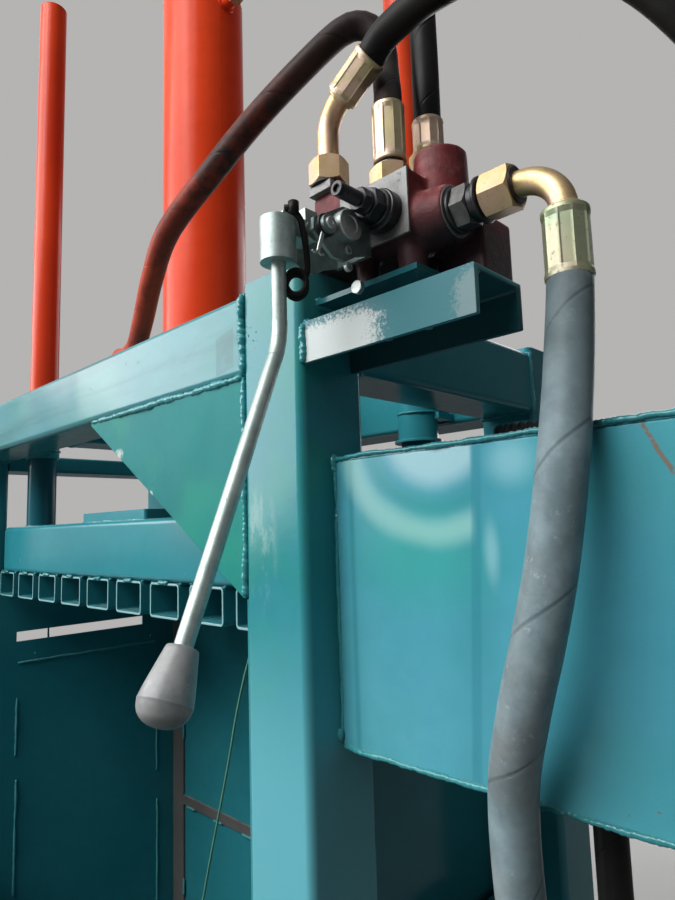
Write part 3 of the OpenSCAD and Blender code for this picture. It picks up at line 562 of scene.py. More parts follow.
# The seam beads are painted a paler teal: a painted highlight.
teal_seam_highlight = enamel("teal_seam_highlight", (0.085, 0.36, 0.38), (0.06, 0.30, 0.32), rough=0.3, gloss=0.4)
teal_tank = enamel("teal_tank", (0.078, 0.335, 0.415), (0.054, 0.278, 0.360), rough=0.2, extra=tank_marks)
teal_speckled = enamel("teal_speckled", *TEAL, rough=0.4, extra=speckles)
orange = enamel("orange_enamel", (0.80, 0.066, 0.016), (0.64, 0.044, 0.010), rough=0.22, dust=0.2, wave=0.06,
                peel=0.06, gloss=0.11)
dusty = enamel("dusty_paint", (0.135, 0.130, 0.127), (0.080, 0.077, 0.075), rough=0.55, dust=0.8, dirt=0.8)
motor_paint = enamel("motor_enamel", (0.055, 0.065, 0.07), (0.035, 0.042, 0.045), rough=0.4, dust=0.6, wave=0.02)
zinc = metal("zinc_plate", (0.42, 0.455, 0.44), (0.27, 0.31, 0.30), rough=0.40, metallic=0.8)
zinc_rod = metal("zinc_rod", (0.36, 0.425, 0.40), (0.24, 0.305, 0.285), rough=0.42, metallic=0.65)
zinc_dark = metal("zinc_dark", (0.27, 0.33, 0.32), (0.15, 0.20, 0.19), rough=0.4, metallic=0.75)
dull_grey = metal("dull_grey", (0.15, 0.15, 0.145), (0.08, 0.08, 0.078), rough=0.45, metallic=0.8)
bare = metal("bare_steel", (0.42, 0.42, 0.41), (0.28, 0.28, 0.28), rough=0.36, grain=(1, 1, 8))
machined = metal("machined_face", (0.19, 0.19, 0.185), (0.10, 0.10, 0.098), rough=0.5, grain=(5, 1, 0.12),
                 metallic=0.45, scale=26, grain_scale=520, bump=0.45)
cast_alu = metal("cast_alloy", (0.40, 0.41, 0.42), (0.28, 0.29, 0.30), rough=0.5, metallic=0.6, bump=0.3,
                 grain_scale=500)
chrome = metal("rod_chrome", (0.80, 0.81, 0.82), (0.74, 0.75, 0.76), rough=0.1, speck=0.05, bump=0.02)
black_steel = metal("black_oxide", (0.035, 0.035, 0.038), (0.02, 0.02, 0.022), rough=0.34, metallic=0.6, speck=0.1)
gold = metal("yellow_zinc", (0.53, 0.395, 0.205), (0.385, 0.28, 0.125), rough=0.43, scale=45,
             tint=(0.54, 0.355, 0.26), metallic=0.92)
crimp_zinc = metal("crimp_zinc", (0.55, 0.46, 0.27), (0.39, 0.355, 0.19), rough=0.45, scale=34,
                   tint=(0.56, 0.41, 0.32))
crimp_olive = metal("crimp_olive", (0.335, 0.355, 0.215), (0.205, 0.265, 0.20), rough=0.5, scale=30,
                    tint=(0.36, 0.31, 0.235))
black_plastic = metal("black_plastic", (0.022, 0.022, 0.024), (0.014, 0.014, 0.015), rough=0.45, metallic=0.0,
                      speck=0.05)


def knob_paint():
    """Worn grey knob with painted shade underneath, and a few chips that show an orange-brown undercoat."""
    p = Paint("knob_grey")
    color = p.mix(p.cloud(0.3, 0.75, 60, 4, 0.6), (0.290, 0.300, 0.297), (0.175, 0.187, 0.187))
    # Painted shade: faces that look down turn dark.
    color = p.mix(p.fade(p.facing(), -0.80, -0.10, 0.85), color, (0.026, 0.038, 0.042))
    color = p.coat(color, (0.25, 0.09, 0.035), p.cloud(0.60, 0.64, 300, 3, 0.6), p.cloud(0.58, 0.64, 45))
    fine = p.noise(500, 3)
    return p.use(color, p.blend(fine, 0.3, 0.48), p.bump(fine, 0.15, 0.0004))


def casting():
    """Dark red primer on a sand casting: grainy skin, dust in patches, painted shade over its foot and dark pits."""
    p = Paint("cast_red", gloss=0.15)
    color = p.mix(p.cloud(0.3, 0.7, 30, 4, 0.6), (0.17, 0.030, 0.030), (0.095, 0.018, 0.021))
    z = p.axes()[2]
    # Painted shade over the lower part, below about 1.86 m.
    color = p.coat(color, (0.028, 0.022, 0.025), p.fade(z, 1.842, 1.875), 0.8)
    settled = p.step(p.facing(), 0.1, 0.95, 0.12, 0.8)
    color = p.coat(color, (0.78, 0.43, 0.40), p.cloud(0.45, 0.8, 55, 5, 0.7), settled, p.step(z, 1.86, 1.90, 0.15, 1.0))
    color = p.coat(color, (0.05, 0.03, 0.03), p.cloud(0.66, 0.72, 160), 0.5)
    normal = p.bump(p.noise(420, 3, 0.6), 0.5, 0.0008)
    return p.use(color, p.blend(p.noise(120, 3), 0.32, 0.6), p.bump(p.noise(70), 0.25, 0.002, normal))


def rubber(name, color, dusty_color, share=0.6, rough=0.42, wrap=0.09, spray=None):
    """Wrapped hose cover: cloth-marked skin, one spiral wrap line, dust and dull rubs. The UVs run round and along."""
    p = Paint(name, gloss=0.10)
    around, along, _ = p.axes(p.coords["UV"])
    turn = p.math("FRACT", p.math("SUBTRACT", p.math("DIVIDE", along, wrap), around))
    edge = p.step(p.off(turn, 0.5), 0.0, 0.03)
    patch = p.cloud(0.3, 0.72, 16, 5, 0.65)
    tone = p.coat(color, dusty_color, patch, share)
    tone = p.mix(p.blend(edge, 0.55, 0.0), tone, tuple(c * 0.5 for c in color))
    weave = p.mul(p.math("SINE", p.mul(around, 420.0)), p.math("SINE", p.mul(along, 3800.0)))
    if spray:
        tone = spray(p, tone)
    normal = p.bump(weave, 0.10, 0.0003, p.bump(edge, 0.35, 0.0009))
    normal = p.bump(p.noise(45, 3), 0.12, 0.002, normal)
    return p.use(tone, p.blend(patch, rough * 0.85, rough * 1.25), normal)


def dusty_film(p, tone):
    """Warm dust low on the pump hose, a darker top and small pale scuffs."""
    z = p.axes()[2]
    tone = p.mix(p.step(z, 1.58, 1.72, 0.0, 0.6), tone, (0.040, 0.050, 0.053))
    tone = p.coat(tone, (0.270, 0.232, 0.215), p.cloud(0.44, 0.68, 9, 4, 0.6), p.step(z, 1.20, 1.56, 0.6, 0.15))
    return p.coat(tone, (0.38, 0.43, 0.45), p.cloud(0.58, 0.70, 95, 5, 0.75), p.step(z, 1.50, 1.66, 0.5, 0.1))


def overspray(p, tone):
    """Orange paint that drifted onto the hose below the cylinder, fading to the valve."""
    x = p.axes()[0]
    near = p.mul(p.fade(x, 0.32, 0.52, 0.95), p.step(p.noise(26, 4, 0.6), 0.30, 0.55, 0.45, 1.0))
    far = p.mul(p.fade(x, 0.40, 0.66, 0.6), p.cloud(0.38, 0.66, 34, 5, 0.7))
    return p.mix(p.math("MAXIMUM", near, far), tone, (0.44, 0.060, 0.028))


def twine_mat():
    """Two greens along the lay of the strands."""
    p = Paint("green_twine")
    x, _, z = p.axes()
    strand = p.math("SINE", p.mul(p.math("ADD", z, p.mul(x, 0.6)), 2600.0))
    color = p.mix(p.step(strand, -1, 1), (0.028, 0.13, 0.08), (0.07, 0.25, 0.16))
    return p.use(color, 0.5, p.bump(strand, 0.5, 0.0006))


def two_tone_guides():
    """The guide tubes are orange above the crosshead and bare teal below it."""
    p = Paint("guide_enamel", gloss=0.14)
    line = p.math("ADD", p.axes()[2], p.mul(p.noise(25, 3), 0.02))
    red = p.mix(p.cloud(0.3, 0.7, 3, 3), (0.76, 0.070, 0.020), (0.62, 0.048, 0.014))
    red = p.coat(red, (0.30, 0.05, 0.03), p.cloud(0.5, 0.8, 30, 4, 0.6, at=p.stretch(1, 1, 0.08)), 0.35)
    color = p.mix(p.step(line, 1.848, 1.852), (0.012, 0.10, 0.13), red)
    return p.use(color, p.blend(p.noise(12, 3), 0.12, 0.3), p.bump(p.noise(330, 1.5), 0.06, 0.0006))


knob_grey, cast_red, twine_green, guide_paint = knob_paint(), casting(), twine_mat(), two_tone_guides()
hose_black = rubber("hose_black", (0.007, 0.0068, 0.0068), (0.017, 0.0155, 0.0148))
hose_grey = rubber("hose_grey", (0.115, 0.160, 0.174), (0.265, 0.360, 0.388), share=0.8, rough=0.34, wrap=0.12,
                   spray=dusty_film)
hose_sprayed = rubber("hose_sprayed", (0.022, 0.016, 0.015), (0.055, 0.040, 0.036), spray=overspray)


# ---------------------------------------------------------------- hoses and twine
def hose(name, node, d, material, first, last, route, slot="hose_rubber", step=8.0, sides=28):
    """A cord along a route. first and last are its headings at the two ends."""
    q = catmull([Vector(p) for p in route], step)
    made = piece(name, sweep(q, d / 2, sides, first, last), "frame", slot, material, sharp=60, replaces=(node,))


A_LEAN = radians(61)
a_dir = vec(sin(A_LEAN), 0, cos(A_LEAN))


def elbow_a(t):
    """Point of the bent fitting under hose_a, by its angle from the upright."""
    return vec(643 + 45 * (1 - cos(t)), -275, 1997 + 45 * sin(t))


a_start = elbow_a(A_LEAN) + a_dir * 52
hose("valve_to_tank_hose", "hose_a", 32, hose_black, a_dir, -Z, [
    a_start, a_start + a_dir * 30, (800, -277, 2078), (880, -266, 2068), (950, -237, 2025), (1000, -203, 1955),
    (1030, -150, 1880), (1040, -112, 1800), (*RETURN, 1720)])
hose("rod_side_hose", "hose_b", 31, hose_sprayed, Z, Y, [
    (*PORT_B, 2012), (708, -245, 2032), (700, -236, 2054), (692, -227, 2080), (687, -222, 2105), (682, -223, 2129),
    (668, -234, 2147), (646, -250, 2143), (602, -276, 2105), (545, -302, 2057), (492, -320, 2013), (405, -334, 1958),
    (330, -316, 1920), (245, -284, 1884), (164, -252, 1868), (80, -226, 1872), (22, -206, 1888), (0, -174.5, 1898)])
hose("cap_side_hose", "hose_c", 31, hose_black, Z, -X, [
    (*PORT_C, 2014.5), (723, -193, 2120), (716, -186, 2260), (690, -168, 2420), (620, -140, 2560), (500, -100, 2650),
    (330, -45, 2690), (200, -12, 2698), (174.5, -5, 2695)])
hose("pump_hose", "hose_d", 39, hose_grey, -Z, -Z, [
    (898, -250, 1761), (901, -262, 1730), (904, -285, 1660), (904, -304, 1600), (896, -314, 1532), (884, -320, 1475),
    (866, -316, 1420), (846, -302, 1360), (838, -290, 1290), (838, -280, 1220), (*PUMP, 1182)], sides=36)
hose("suction_hose", "hose_e", 28, hose_black, -Z, -Z, [(*MOTOR, z) for z in (1326, 1220, 1122)])
hose("hanging_twine", "twine", 3, twine_green, (vec(436, -246, 1371) - vec(525, -250, 1560)).normalized(), -Z, [
    (525, -250, 1560), (436, -246, 1371), (394, -244, 1246), (338, -243, 1075), (290, -243, 900), (262, -243, 500),
    (258, -243, 208)], slot="baling_twine", sides=8, step=20)


# ---------------------------------------------------------------- CAD nodes
def dress(names, material, width, flat=False):
    """Gives carried-over nodes a finish, rounded edges and true normals."""
    for name in names.split():
        obj = NODES[name]
        mesh = obj.data
        mesh.materials.clear()
        mesh.materials.append(material)
        mesh.polygons.foreach_set("use_smooth", [not flat] * len(mesh.polygons))
        if "custom_normal" in mesh.attributes:
            mesh.attributes.remove(mesh.attributes["custom_normal"])
        obj.modifiers.new("weld", "WELD").merge_threshold = MERGE_METRES
        round_edges(obj, width)


dress("post_front_left post_rear_right post_rear_left foot_plates beam_top_rear beam_top_right "
      "tie_top_left crosshead_beams crosshead_plate base_rails floor_joists chamber_rails "
      "platen_front_beam platen_frame platen_plate door_hinge_straps hinge_lugs door_ribs pack_shelf", teal, 1.5)
dress("valve_plate", enamel("teal_plate", (0.020, 0.120, 0.138), (0.012, 0.085, 0.10)), 1.5)
dress("post_front_right", teal_post, 1.5)
dress("beam_top_front", teal_beam, 1.5)
dress("corner_gusset", teal_gusset, 1.2, flat=True)
dress("guide_bushes chamber_floor wall_left wall_right wall_back wall_spacers bale_door", teal, 1.0)
dress("platen_tubes", enamel("teal_tubes", *TEAL, extra=front_face_highlight), 1.0)
dress("oil_tank tank_lid", teal_tank, 1.6)
dress("valve_channel", teal_speckled, 1.2)
dress("cylinder_barrel cylinder_cap latch_bar", orange, 1.5)
dress("back_rail", dusty, 0.8)
dress("door_pins flange_bolts", zinc, 0.6)
dress("lever_bracket", zinc_dark, 0.6)
dress("lever_hub", zinc_rod, 0.6)
dress("cylinder_gland piston valve_spool", bare, 0.5)
dress("piston_rod", chrome, 0.5)
dress("guide_tubes", guide_paint, 1.0)


# ---------------------------------------------------------------- weld beads
def sampled(points, step):
    """Points of a broken line, one every step."""
    out = []
    for a, b in zip(points, points[1:]):
        n = max(1, round((b - a).length / step))
        out += [a.lerp(b, k / n) for k in range(n)]
    return out + [points[-1].copy()]


def bead(shape, points, r, pitch=5.5, fine=1.6, sides=8):
    """Adds a hand-laid weld bead: overlapping ripples, pitch apart, along a line that wanders a little."""
    q = sampled([vec(*p) for p in points], fine)
    seed = points[0][0] * 0.37 + points[0][1] * 0.71 + points[0][2] * 0.53
    length = sum((b - a).length for a, b in zip(q, q[1:]))

    def radius(s, a):
        ripple = abs(sin(pi * (s / pitch + 0.18 * cos(a) + 1.2 * noise.noise(vec(s * 0.05, seed, 5))) + seed))
        swell = noise.noise(vec(s * 0.035, seed, 0))
        end = min(1.0, 0.45 + s / (1.4 * r), 0.45 + (length - s) / (1.4 * r))
        return r * end * (0.76 + 0.21 * ripple + 0.40 * swell + 0.28 * noise.noise(vec(s * 0.16, seed, a * 0.4)))

    drift = [noise.noise_vector(vec(i * fine * 0.02, seed, 3)) * r * 0.55 for i in range(len(q))]
    shape.put(sweep([p + d for p, d in zip(q, drift)], radius, sides))


def run(*place):
    """Points of a straight run, whose changing coordinate is a pair, or with two pairs of a closed rectangle."""
    pairs = [axis for axis in range(3) if isinstance(place[axis], tuple)]
    points = []
    for ends in ((0,), (1,)) if len(pairs) == 1 else ((0, 0), (1, 0), (1, 1), (0, 1), (0, 0)):
        point = list(place)
        for axis, end in zip(pairs, ends):
            point[axis] = place[axis][end]
        points.append(point)
    return points


def circle(x, y, z, r):
    return [(x + r * cos(t), y + r * sin(t), z) for t in angles(72, closed=True)]


def finish_welds(name, shape, material=teal_weld, body="frame", slot="teal_paint"):
    piece(name, shape, body, slot, material, sharp=80)


def near_welds():
    """The welds by the near post that the photo shows, and their spatter."""
    near = Shape()
    for points in (run(525, -310, (1743, 1839)), run(525, (-308, -212), 1840),
                   run(525, (-212, -296), 1740), run(525, -210, (1742, 1838))):
        bead(near, points, 5.6, 7.5, 1.4, 12)
    bead(near, run((128, 521), -308, 1739), 4.6, 9, 1.6, 10)
    bead(near, run((128, 521), -298, 1739), 3.2)
    bead(near, run(524.5, -308, (1487, 1737)), 4.3, 6.5, 1.5, 10)
    bead(near, run(524.5, -298, (1487, 1737)), 3.2)
    for points in ([(626, -303, 1737), (626, -305, 1740), (626, -305, 1779)], run(626, (-304, -226), 1781),
                   run(626, -225, (1779, 1737)), run(626, (-284, -166), 1810), run(626, (-284, -166), 1804)):
        bead(near, points, 5.0, 7, 1.4, 12)
    for points in (run(624, -210, (1743, 1837)), run((527, 623), -210, 1840), run((527, 623), -210, 1740)):
        bead(near, points, 4.2)
    for count, x, reach, y, z, height in ((24, 534, 34, -310, 1738, 108), (20, 516, -40, -308, 1744, 92)):
        for _ in range(count):
            a, b, c = (noise.random() for _ in range(3))
            r = 0.4 + 0.7 * c ** 3
            drop = lathe([(r, -0.3), (r * 0.8, r * 0.5), (0, r * 0.75)], 8)
            near.put(drop, (x + reach * a * a, y, z + height * b), -Y)
    finish_welds("frame_welds_near", near)


def tank_welds():
    tank = Shape()
    for points in (run(626, -262, (1338, 1633)), [(628, -262, 1634), (651, -269, 1634.5), (1071, -269, 1634.5)],
                   run(1071, -267, (1336, 1634)), [(628, -262, 1336), (651, -269, 1336), (1071, -269, 1336)],
                   run(1071, (-266, 29), 1634.5), run((1071, 628), 31, 1634.5), run(1071, 29, (1338, 1632))):
        bead(tank, points, 3.1, 5.2, 1.5, 8)
    for z in ((1338, 1352), (1618, 1640)):
        bead(tank, run(624.5, -263, z), 6.5, 5, 1.5, 10)
    bead(tank, circle(745, -49, 1636, 31), 2.4, 4.6, 2.0, 6)
    finish_welds("tank_welds", tank)


def far_welds():
    """The welds of the frame, the shelf and the hinge lugs that lie farther off, with coarser ripples."""
    far = Shape()
    wide = (4.2, 7, 2.6, 6)
    for s in (-1, 1):
        post, inner = about(s * 575), s * 525
        for y in (-260, 260):
            if s < 0 or y > 0:
                bead(far, run(inner, about(y), BEAM_Z), *wide)
            bead(far, run(inner, about(y), BASE_Z), *wide)
            bead(far, run(post, about(y), 13), *wide)
        for x, z in ((post, BASE_Z), (about(s * 140), BEAM_Z)):
            for y in (-210, 210):
                bead(far, run(x, y, z), *wide)
        for y in (-237, -109):
            bead(far, run(inner, y, (212, 1478)), 2.6, 7, 3, 6)
        for y in (-150, 150):
            bead(far, run(s * 496, y, (1285, 1290)), *wide)
    for place in (((526, 624), 210, BEAM_Z), ((-624, -526), -210, TIE_Z), ((-624, -526), 210, TIE_Z),
                  ((-186, 186), (-191, 181), 1840.5)):
        bead(far, run(*place), *wide)
    for s, x, y in GUIDES:
        for z in (1746, 1758, 1822, 1834):
            bead(far, run(about(x, 44), s * 209, z), 3, 6, 2.6, 6)
        for z in (1758.5, 1821.5):
            bead(far, circle(x, y, z, 37), 2.8, 6, 2.6, 6)
    bead(far, run((627, 925), -310, 739.5), *wide)
    bead(far, run(626, (-308, -212), 752), *wide)
    for y in (-310, -302, -218, -210):
        bead(far, run(626, y, (545, 735)), 3, 7, 3, 6)
    for z in (318, 770):
        for dz in (-14.5, -0.5, 50.5, 64.5):
            bead(far, run((-604, -576), -310.5, z + dz), 2.6, 6, 2.6, 6)
    bead(far, [(590 + 14 * cos(t), -311, 670 + 14 * sin(t)) for t in angles(24, closed=True)], 2.6, 6, 2.6, 6)
    finish_welds("frame_welds_far", far, teal)


def chamber_seams():
    seams = Shape()
    thin = (3.2, 6, 2.0, 6)
    for y, *z in ((-186, 1062, 1190), (175, 930, 1040), (-182, 760, 1010), (177, 560, 860), (-186, 420, 560)):
        bead(seams, run(-504.5, y, tuple(z)), *thin)
    bead(seams, run(-504.5, (-186, 170), 1269), *thin)
    for x in (-453, 453):
        for z in (330, 620, 1010, 1390):
            bead(seams, run(x, 226, (z, z + 40)), *thin)
    for x in range(-420, 421, 120):
        bead(seams, run(about(x, 18), 226, 841), *thin)
    # The seams take the paler teal of the painted highlight.
    finish_welds("chamber_seams", seams, teal_seam_highlight)


def platen_welds():
    platen = Shape()
    for s in (-1, 1):
        for y in (-135, 105):
            bead(platen, run((s * 371, s * 469), y, (1486, 1582)), 4, 6, 2.4, 6)
    for x in range(-448, 449, 112):
        for side in about(x, 41.16):
            bead(platen, run(side, (-233, -186), 1483.5), 2.8, 5, 1.8, 6)
            bead(platen, run(side, (110, 203), 1483.5), 2.8, 6, 2.6, 6)
        bead(platen, run((x - 14, x + 12), -236, 1484), 3.4, 5, 1.6, 8)
    for y in (-209, 199):
        bead(platen, run((-118, 118), y, 1584), 3.2, 6, 2.2, 6)
    for x in (-120, 120):
        for y in ((-205, -140), (-60, 40), (120, 195)):
            bead(platen, run(x, y, 1584), 3.2, 6, 2.2, 6)
    bead(platen, circle(0, AXIS_Y, 1602.5, 76), 3.4, 6, 2.4, 6)
    for _, x, y in GUIDES:
        bead(platen, circle(x, y, 1584.5, 32), 3.2, 6, 2.0, 8)
    finish_welds("platen_welds", platen, body="platen")


def cylinder_welds():
    cylinder = Shape()
    for z, r, *form in ((1876, 89.5, 4.2, 7, 2.0, 8), (2731, 85.5, 3.6, 7, 2.2, 6), (2750, 73.5, 3.2, 7, 2.2, 6)):
        bead(cylinder, circle(0, AXIS_Y, z, r), *form)
    barrel, port = 87.5, 17.5
    seat = [(port * cos(t), sqrt(barrel ** 2 - (port * cos(t)) ** 2), port * sin(t)) for t in angles(40, closed=True)]
    bead(cylinder, [(u, AXIS_Y - out - 0.5, 1898 + v) for u, out, v in seat], 3, 6, 2.0, 6)
    bead(cylinder, [(out + 0.5, AXIS_Y + u, 2695 + v) for u, out, v in seat], 3, 6, 2.0, 6)
    finish_welds("cylinder_welds", cylinder, orange, slot="orange_paint")


def door_welds():
    door = Shape()
    for z in (278, 554, 850):
        for edge in about(z, 30):
            for x in range(-380, 500, 110):
                bead(door, run((x, x + 42), -317.5, edge), 2.8, 6, 2.4, 6)
        # The doubled end point pinches the end of this bead.
        bead(door, [(-400, -318, z - 28), (-400, -318, z + 28), (-400, -318, z + 28)], 2.4, 6, 2.6, 6)
    for z in (318, 770):
        bead(door, run(-421, -317.5, (z, z + 50)), 3, 6, 2.4, 6)
        for edge in (z, z + 50):
            bead(door, run((-555, -425), -318.5, edge), 2.6, 6, 2.4, 6)
    finish_welds("door_welds", door, teal, body="door")


noise.seed_set(RANDOM_SEED)
for make in (near_welds, tank_welds, far_welds, chamber_seams, platen_welds, cylinder_welds, door_welds):
    make()


# ---------------------------------------------------------------- fittings, nuts and ferrules
def ferrule_shape(r, h):
    """Crimped sleeve: ten long flats pressed by the jaws, with round rims at both ends."""
    flutes, depth, rim = 10, 0.09, 4.5

    def wobble(q, z, a):
        inner = min(1.0, max(0.0, (z - rim) / 3.5), max(0.0, (h - rim - z) / 3.5))
        flat = cos(pi / flutes) / cos((a + pi / flutes) % (2 * pi / flutes) - pi / flutes)
        ridge = max(0.0, 1 - abs(((a * flutes / (2 * pi)) % 1.0) - 0.5) / 0.06)
        return q * (1 - inner * (depth * 0.5 + (1 - flat) * 0.9)) + inner * ridge * 0.9

    profile = [(r * 0.80, 0), (r * 0.95, 0.2), (r * 0.995, 1.4), (r, 3.0)]
    profile += [(r, rim + (h - 2 * rim) * k / 12) for k in range(13)]
    profile += [(r, h - 3.0), (r * 0.995, h - 1.4), (r * 0.95, h - 0.2), (r * 0.80, h)]
    return lathe(profile, 96, wobble)


def port_stack():
    """The fittings that stand on the valve, the cylinder, the tank and the pump, each turned from its own bar."""
    nuts, collars, rings = Shape(), Shape(), Shape()
    arc_a = [elbow_a(t) for t in angles(14, A_LEAN, True)]
    arc_d = [vec(858 + 40 * sin(t), -250, 1823 + 40 * cos(t)) for t in angles(18, pi / 2, True)]
    put_all(
        (nuts, nut(39.5, 28.5), (*PORT_A, 1940.5), Z, 15),
        (rings, sleeve(2.5, 20.5), (*PORT_A, 1938)),
        (nuts, sweep([vec(*PORT_A, 1969), vec(*PORT_A, 1983)] + arc_a, 12.5, 40, Z, a_dir)),
        (nuts, sleeve(4, 14.2), (*PORT_A, 1968)),
        (nuts, sleeve(5, 15.5), elbow_a(A_LEAN) - a_dir * 3, a_dir),
        (nuts, nut(40, 25.5), (*PORT_B, 1914.5), Z, 15),
        (rings, sleeve(2.5, 20.5), (*PORT_B, 1912)),
        (collars, sleeve(4.5, 15.5), (*PORT_B, 1940)),
        (nuts, nut(40, 28), (*PORT_C, 1946), Z, 15),
        (rings, sleeve(2.5, 20.5), (*PORT_C, 1943.5)),
        (rings, sleeve(5, 23), (790.5, *PORT_D), X),
        (collars, nut(38, 18), (794, *PORT_D), X, 10),
        (rings, sleeve(11, 18), (811, *PORT_D), X),
        (rings, sleeve(4.5, 22.5), (819, *PORT_D), X),
        (nuts, nut(39, 31), (825, *PORT_D), X, 12),
        (nuts, sweep([vec(850, *PORT_D)] + arc_d, 12.2, 40, X, -Z)),
        (rings, sleeve(2.5, 17.5), (855, *PORT_D), X),
        (nuts, sleeve(5, 15.5), (898, -250, 1827), -Z),
        (nuts, nut(36, 17.5), (0, -116.8, 1898), -Y),
        (nuts, nut(36, 17.5), (111.8, AXIS_Y, 2695), X),
        (nuts, nut(41, 24.5), (*RETURN, 1635.2), Z, 10),
        (nuts, nut(41, 11.5), (*PUMP, 1110.2)),
        (nuts, nut(36, 11.5), (*MOTOR, 1110.2), Z, 20),
        (collars, sleeve(9.5, 17), (*MOTOR, 1326.2)))
    for name, shape, slot, material, bevel in (
            ("hose_nuts_and_elbows", nuts, "yellow_zinc", gold, 0.5),
            ("adapter_collars", collars, "zinc_steel", dull_grey, 0.4),
            ("seal_rings", rings, "black_oxide", black_steel, 0.4)):
        piece(name, shape, "frame", slot, material, sharp=28, bevel=bevel, replaces=("pipe_fittings",))
    for name, r, h, *where in (
            ("ferrule_a", 18.5, 52, elbow_a(A_LEAN), a_dir, 8), ("ferrule_b", 18, 66, (*PORT_B, 1946), Z, 20),
            ("ferrule_c", 18, 40, (*PORT_C, 1974.5), Z, 5), ("ferrule_d", 20.6, 62, (898, -250, 1823), -Z, 12),
            ("ferrule_rod_port", 18, 40, (0, -134.5, 1898), -Y), ("ferrule_cap_port", 18, 45, (129.5, AXIS_Y, 2695), X),
            ("ferrule_return", 18.5, 60, (*RETURN, 1660)), ("ferrule_pump", 22.5, 60, (*PUMP, 1122), Z, 15)):
        piece(name, Shape().put(ferrule_shape(r, h), *where), "frame", "yellow_zinc",
              crimp_olive if name == "ferrule_d" else crimp_zinc, sharp=16, replaces=("hose_ferrules",))


port_stack()


# ---------------------------------------------------------------- valve
def cast_valve():
    body, faces = Shape(), Shape()
    for corners in (((627, -284.2, 1842), (758.5, -176, 1911)), ((768, -224, 1782), (803, -166, 1871)),
                    ((745, -222, 1816), (775, -177, 1868))):
        body.put(block(*corners))
    put_all(
        (body, cone(11.5, 13.5, 34), (684, -261, 1810.5)), (body, cone(14, 17, 34), (744, -261, 1810.5)),
        (body, cone(11.5, 14, 34), (715, -197, 1810.5)), (body, cone(27, 21.5, 42), (645, -259, 1894)),
        (body, cone(30, 28, 82), (757, -223, 1864)), (body, cone(24, 21.5, 50), (*PORT_C, 1893)),
        (body, cone(34, 27, 53), (738, -250, 1864), X), (body, block((626, -284, 1905), (668, -250, 1927))),
        (faces, block((668, -285.6, 1843), (759, -282.5, 1911.4))),
        (faces, block((626, -291, 1928), (660, -258, 1938))),
        (faces, cone(21.5, 21.5, 2), (*PORT_B, 1910.3)), (faces, cone(21.5, 21.5, 2), (*PORT_C, 1941.6)),
        (faces, cone(26, 26, 1.5), (789.6, *PORT_D), X))
    made = piece("valve_casting", body, "frame", "cast_red_paint", cast_red, sharp=180, replaces=("valve_body",))
    cast = made.modifiers.new("cast", "REMESH")
    cast.mode, cast.voxel_size, cast.use_smooth_shade = "VOXEL", 0.0021, True
    soft = made.modifiers.new("soft", "SMOOTH")
    soft.factor, soft.iterations = 0.5, 7
    piece("valve_machined_faces", faces, "frame", "bare_steel", machined, sharp=30, bevel=0.9, replaces=("valve_body",))


def relief():
    """Adjustable relief cartridge: turned collar, hexagon, locknut, thread and socket screw."""
    collar = [(19.5, 0), (21, 1), (21, 12), (20, 13.5), (18.6, 14), (18.2, 17), (17, 18)]
    thread = [(7.4 if k % 2 else 6.7, k) for k in range(27)]
    socket = [(7.0, 66), (7.4, 69), (7.4, 71.2), (6.9, 71.9), (4.2, 71.9), (3.6, 71.2), (3.6, 62.5)]
    shape = Shape()
    for out, part, spin in ((0, lathe(collar, 64), 0), (18, nut(29.4, 14), 10),
                            (32, lathe([(12, 0), (12, 1.2), (11.2, 2), (11.2, 3)]), 0), (34.8, nut(21, 8.6), 25),
                            (43, lathe(thread, 40), 0), (0, ring(socket, 36), 0)):
        shape.put(part, (731, -285 - out, 1872), -Y, spin)
    piece("relief_cartridge", shape, "frame", "black_oxide", black_steel, sharp=28, bevel=0.35,
          replaces=("relief_valve",))


cast_valve()
relief()


# ---------------------------------------------------------------- lever linkage
def cotter(at, along, side, length=17.0, r=1.1):
    """Split pin: two legs through the hole with bent-back ends, and an eye."""
    shape = Shape()
    for s in (-1, 1):
        leg = [at + side * (s * 1.1) + along * (length * k / 5) for k in range(6)]
        leg += [leg[-1] + side * (s * 3.2) + along * 1.6, leg[-1] + side * (s * 6.4) + along * 0.4]
        shape.put(sweep(catmull(leg, 1.2), r, 8))
    turns = [pi * (0.5 + 1.5 * k / 9) * 0.8 + 2.4 for k in range(10)]
    eye = [at + side * (3.4 * cos(t)) + along * (3.4 * sin(t) - 4.6) for t in turns]
    return shape.put(sweep(catmull(eye, 1.0), r, 8))


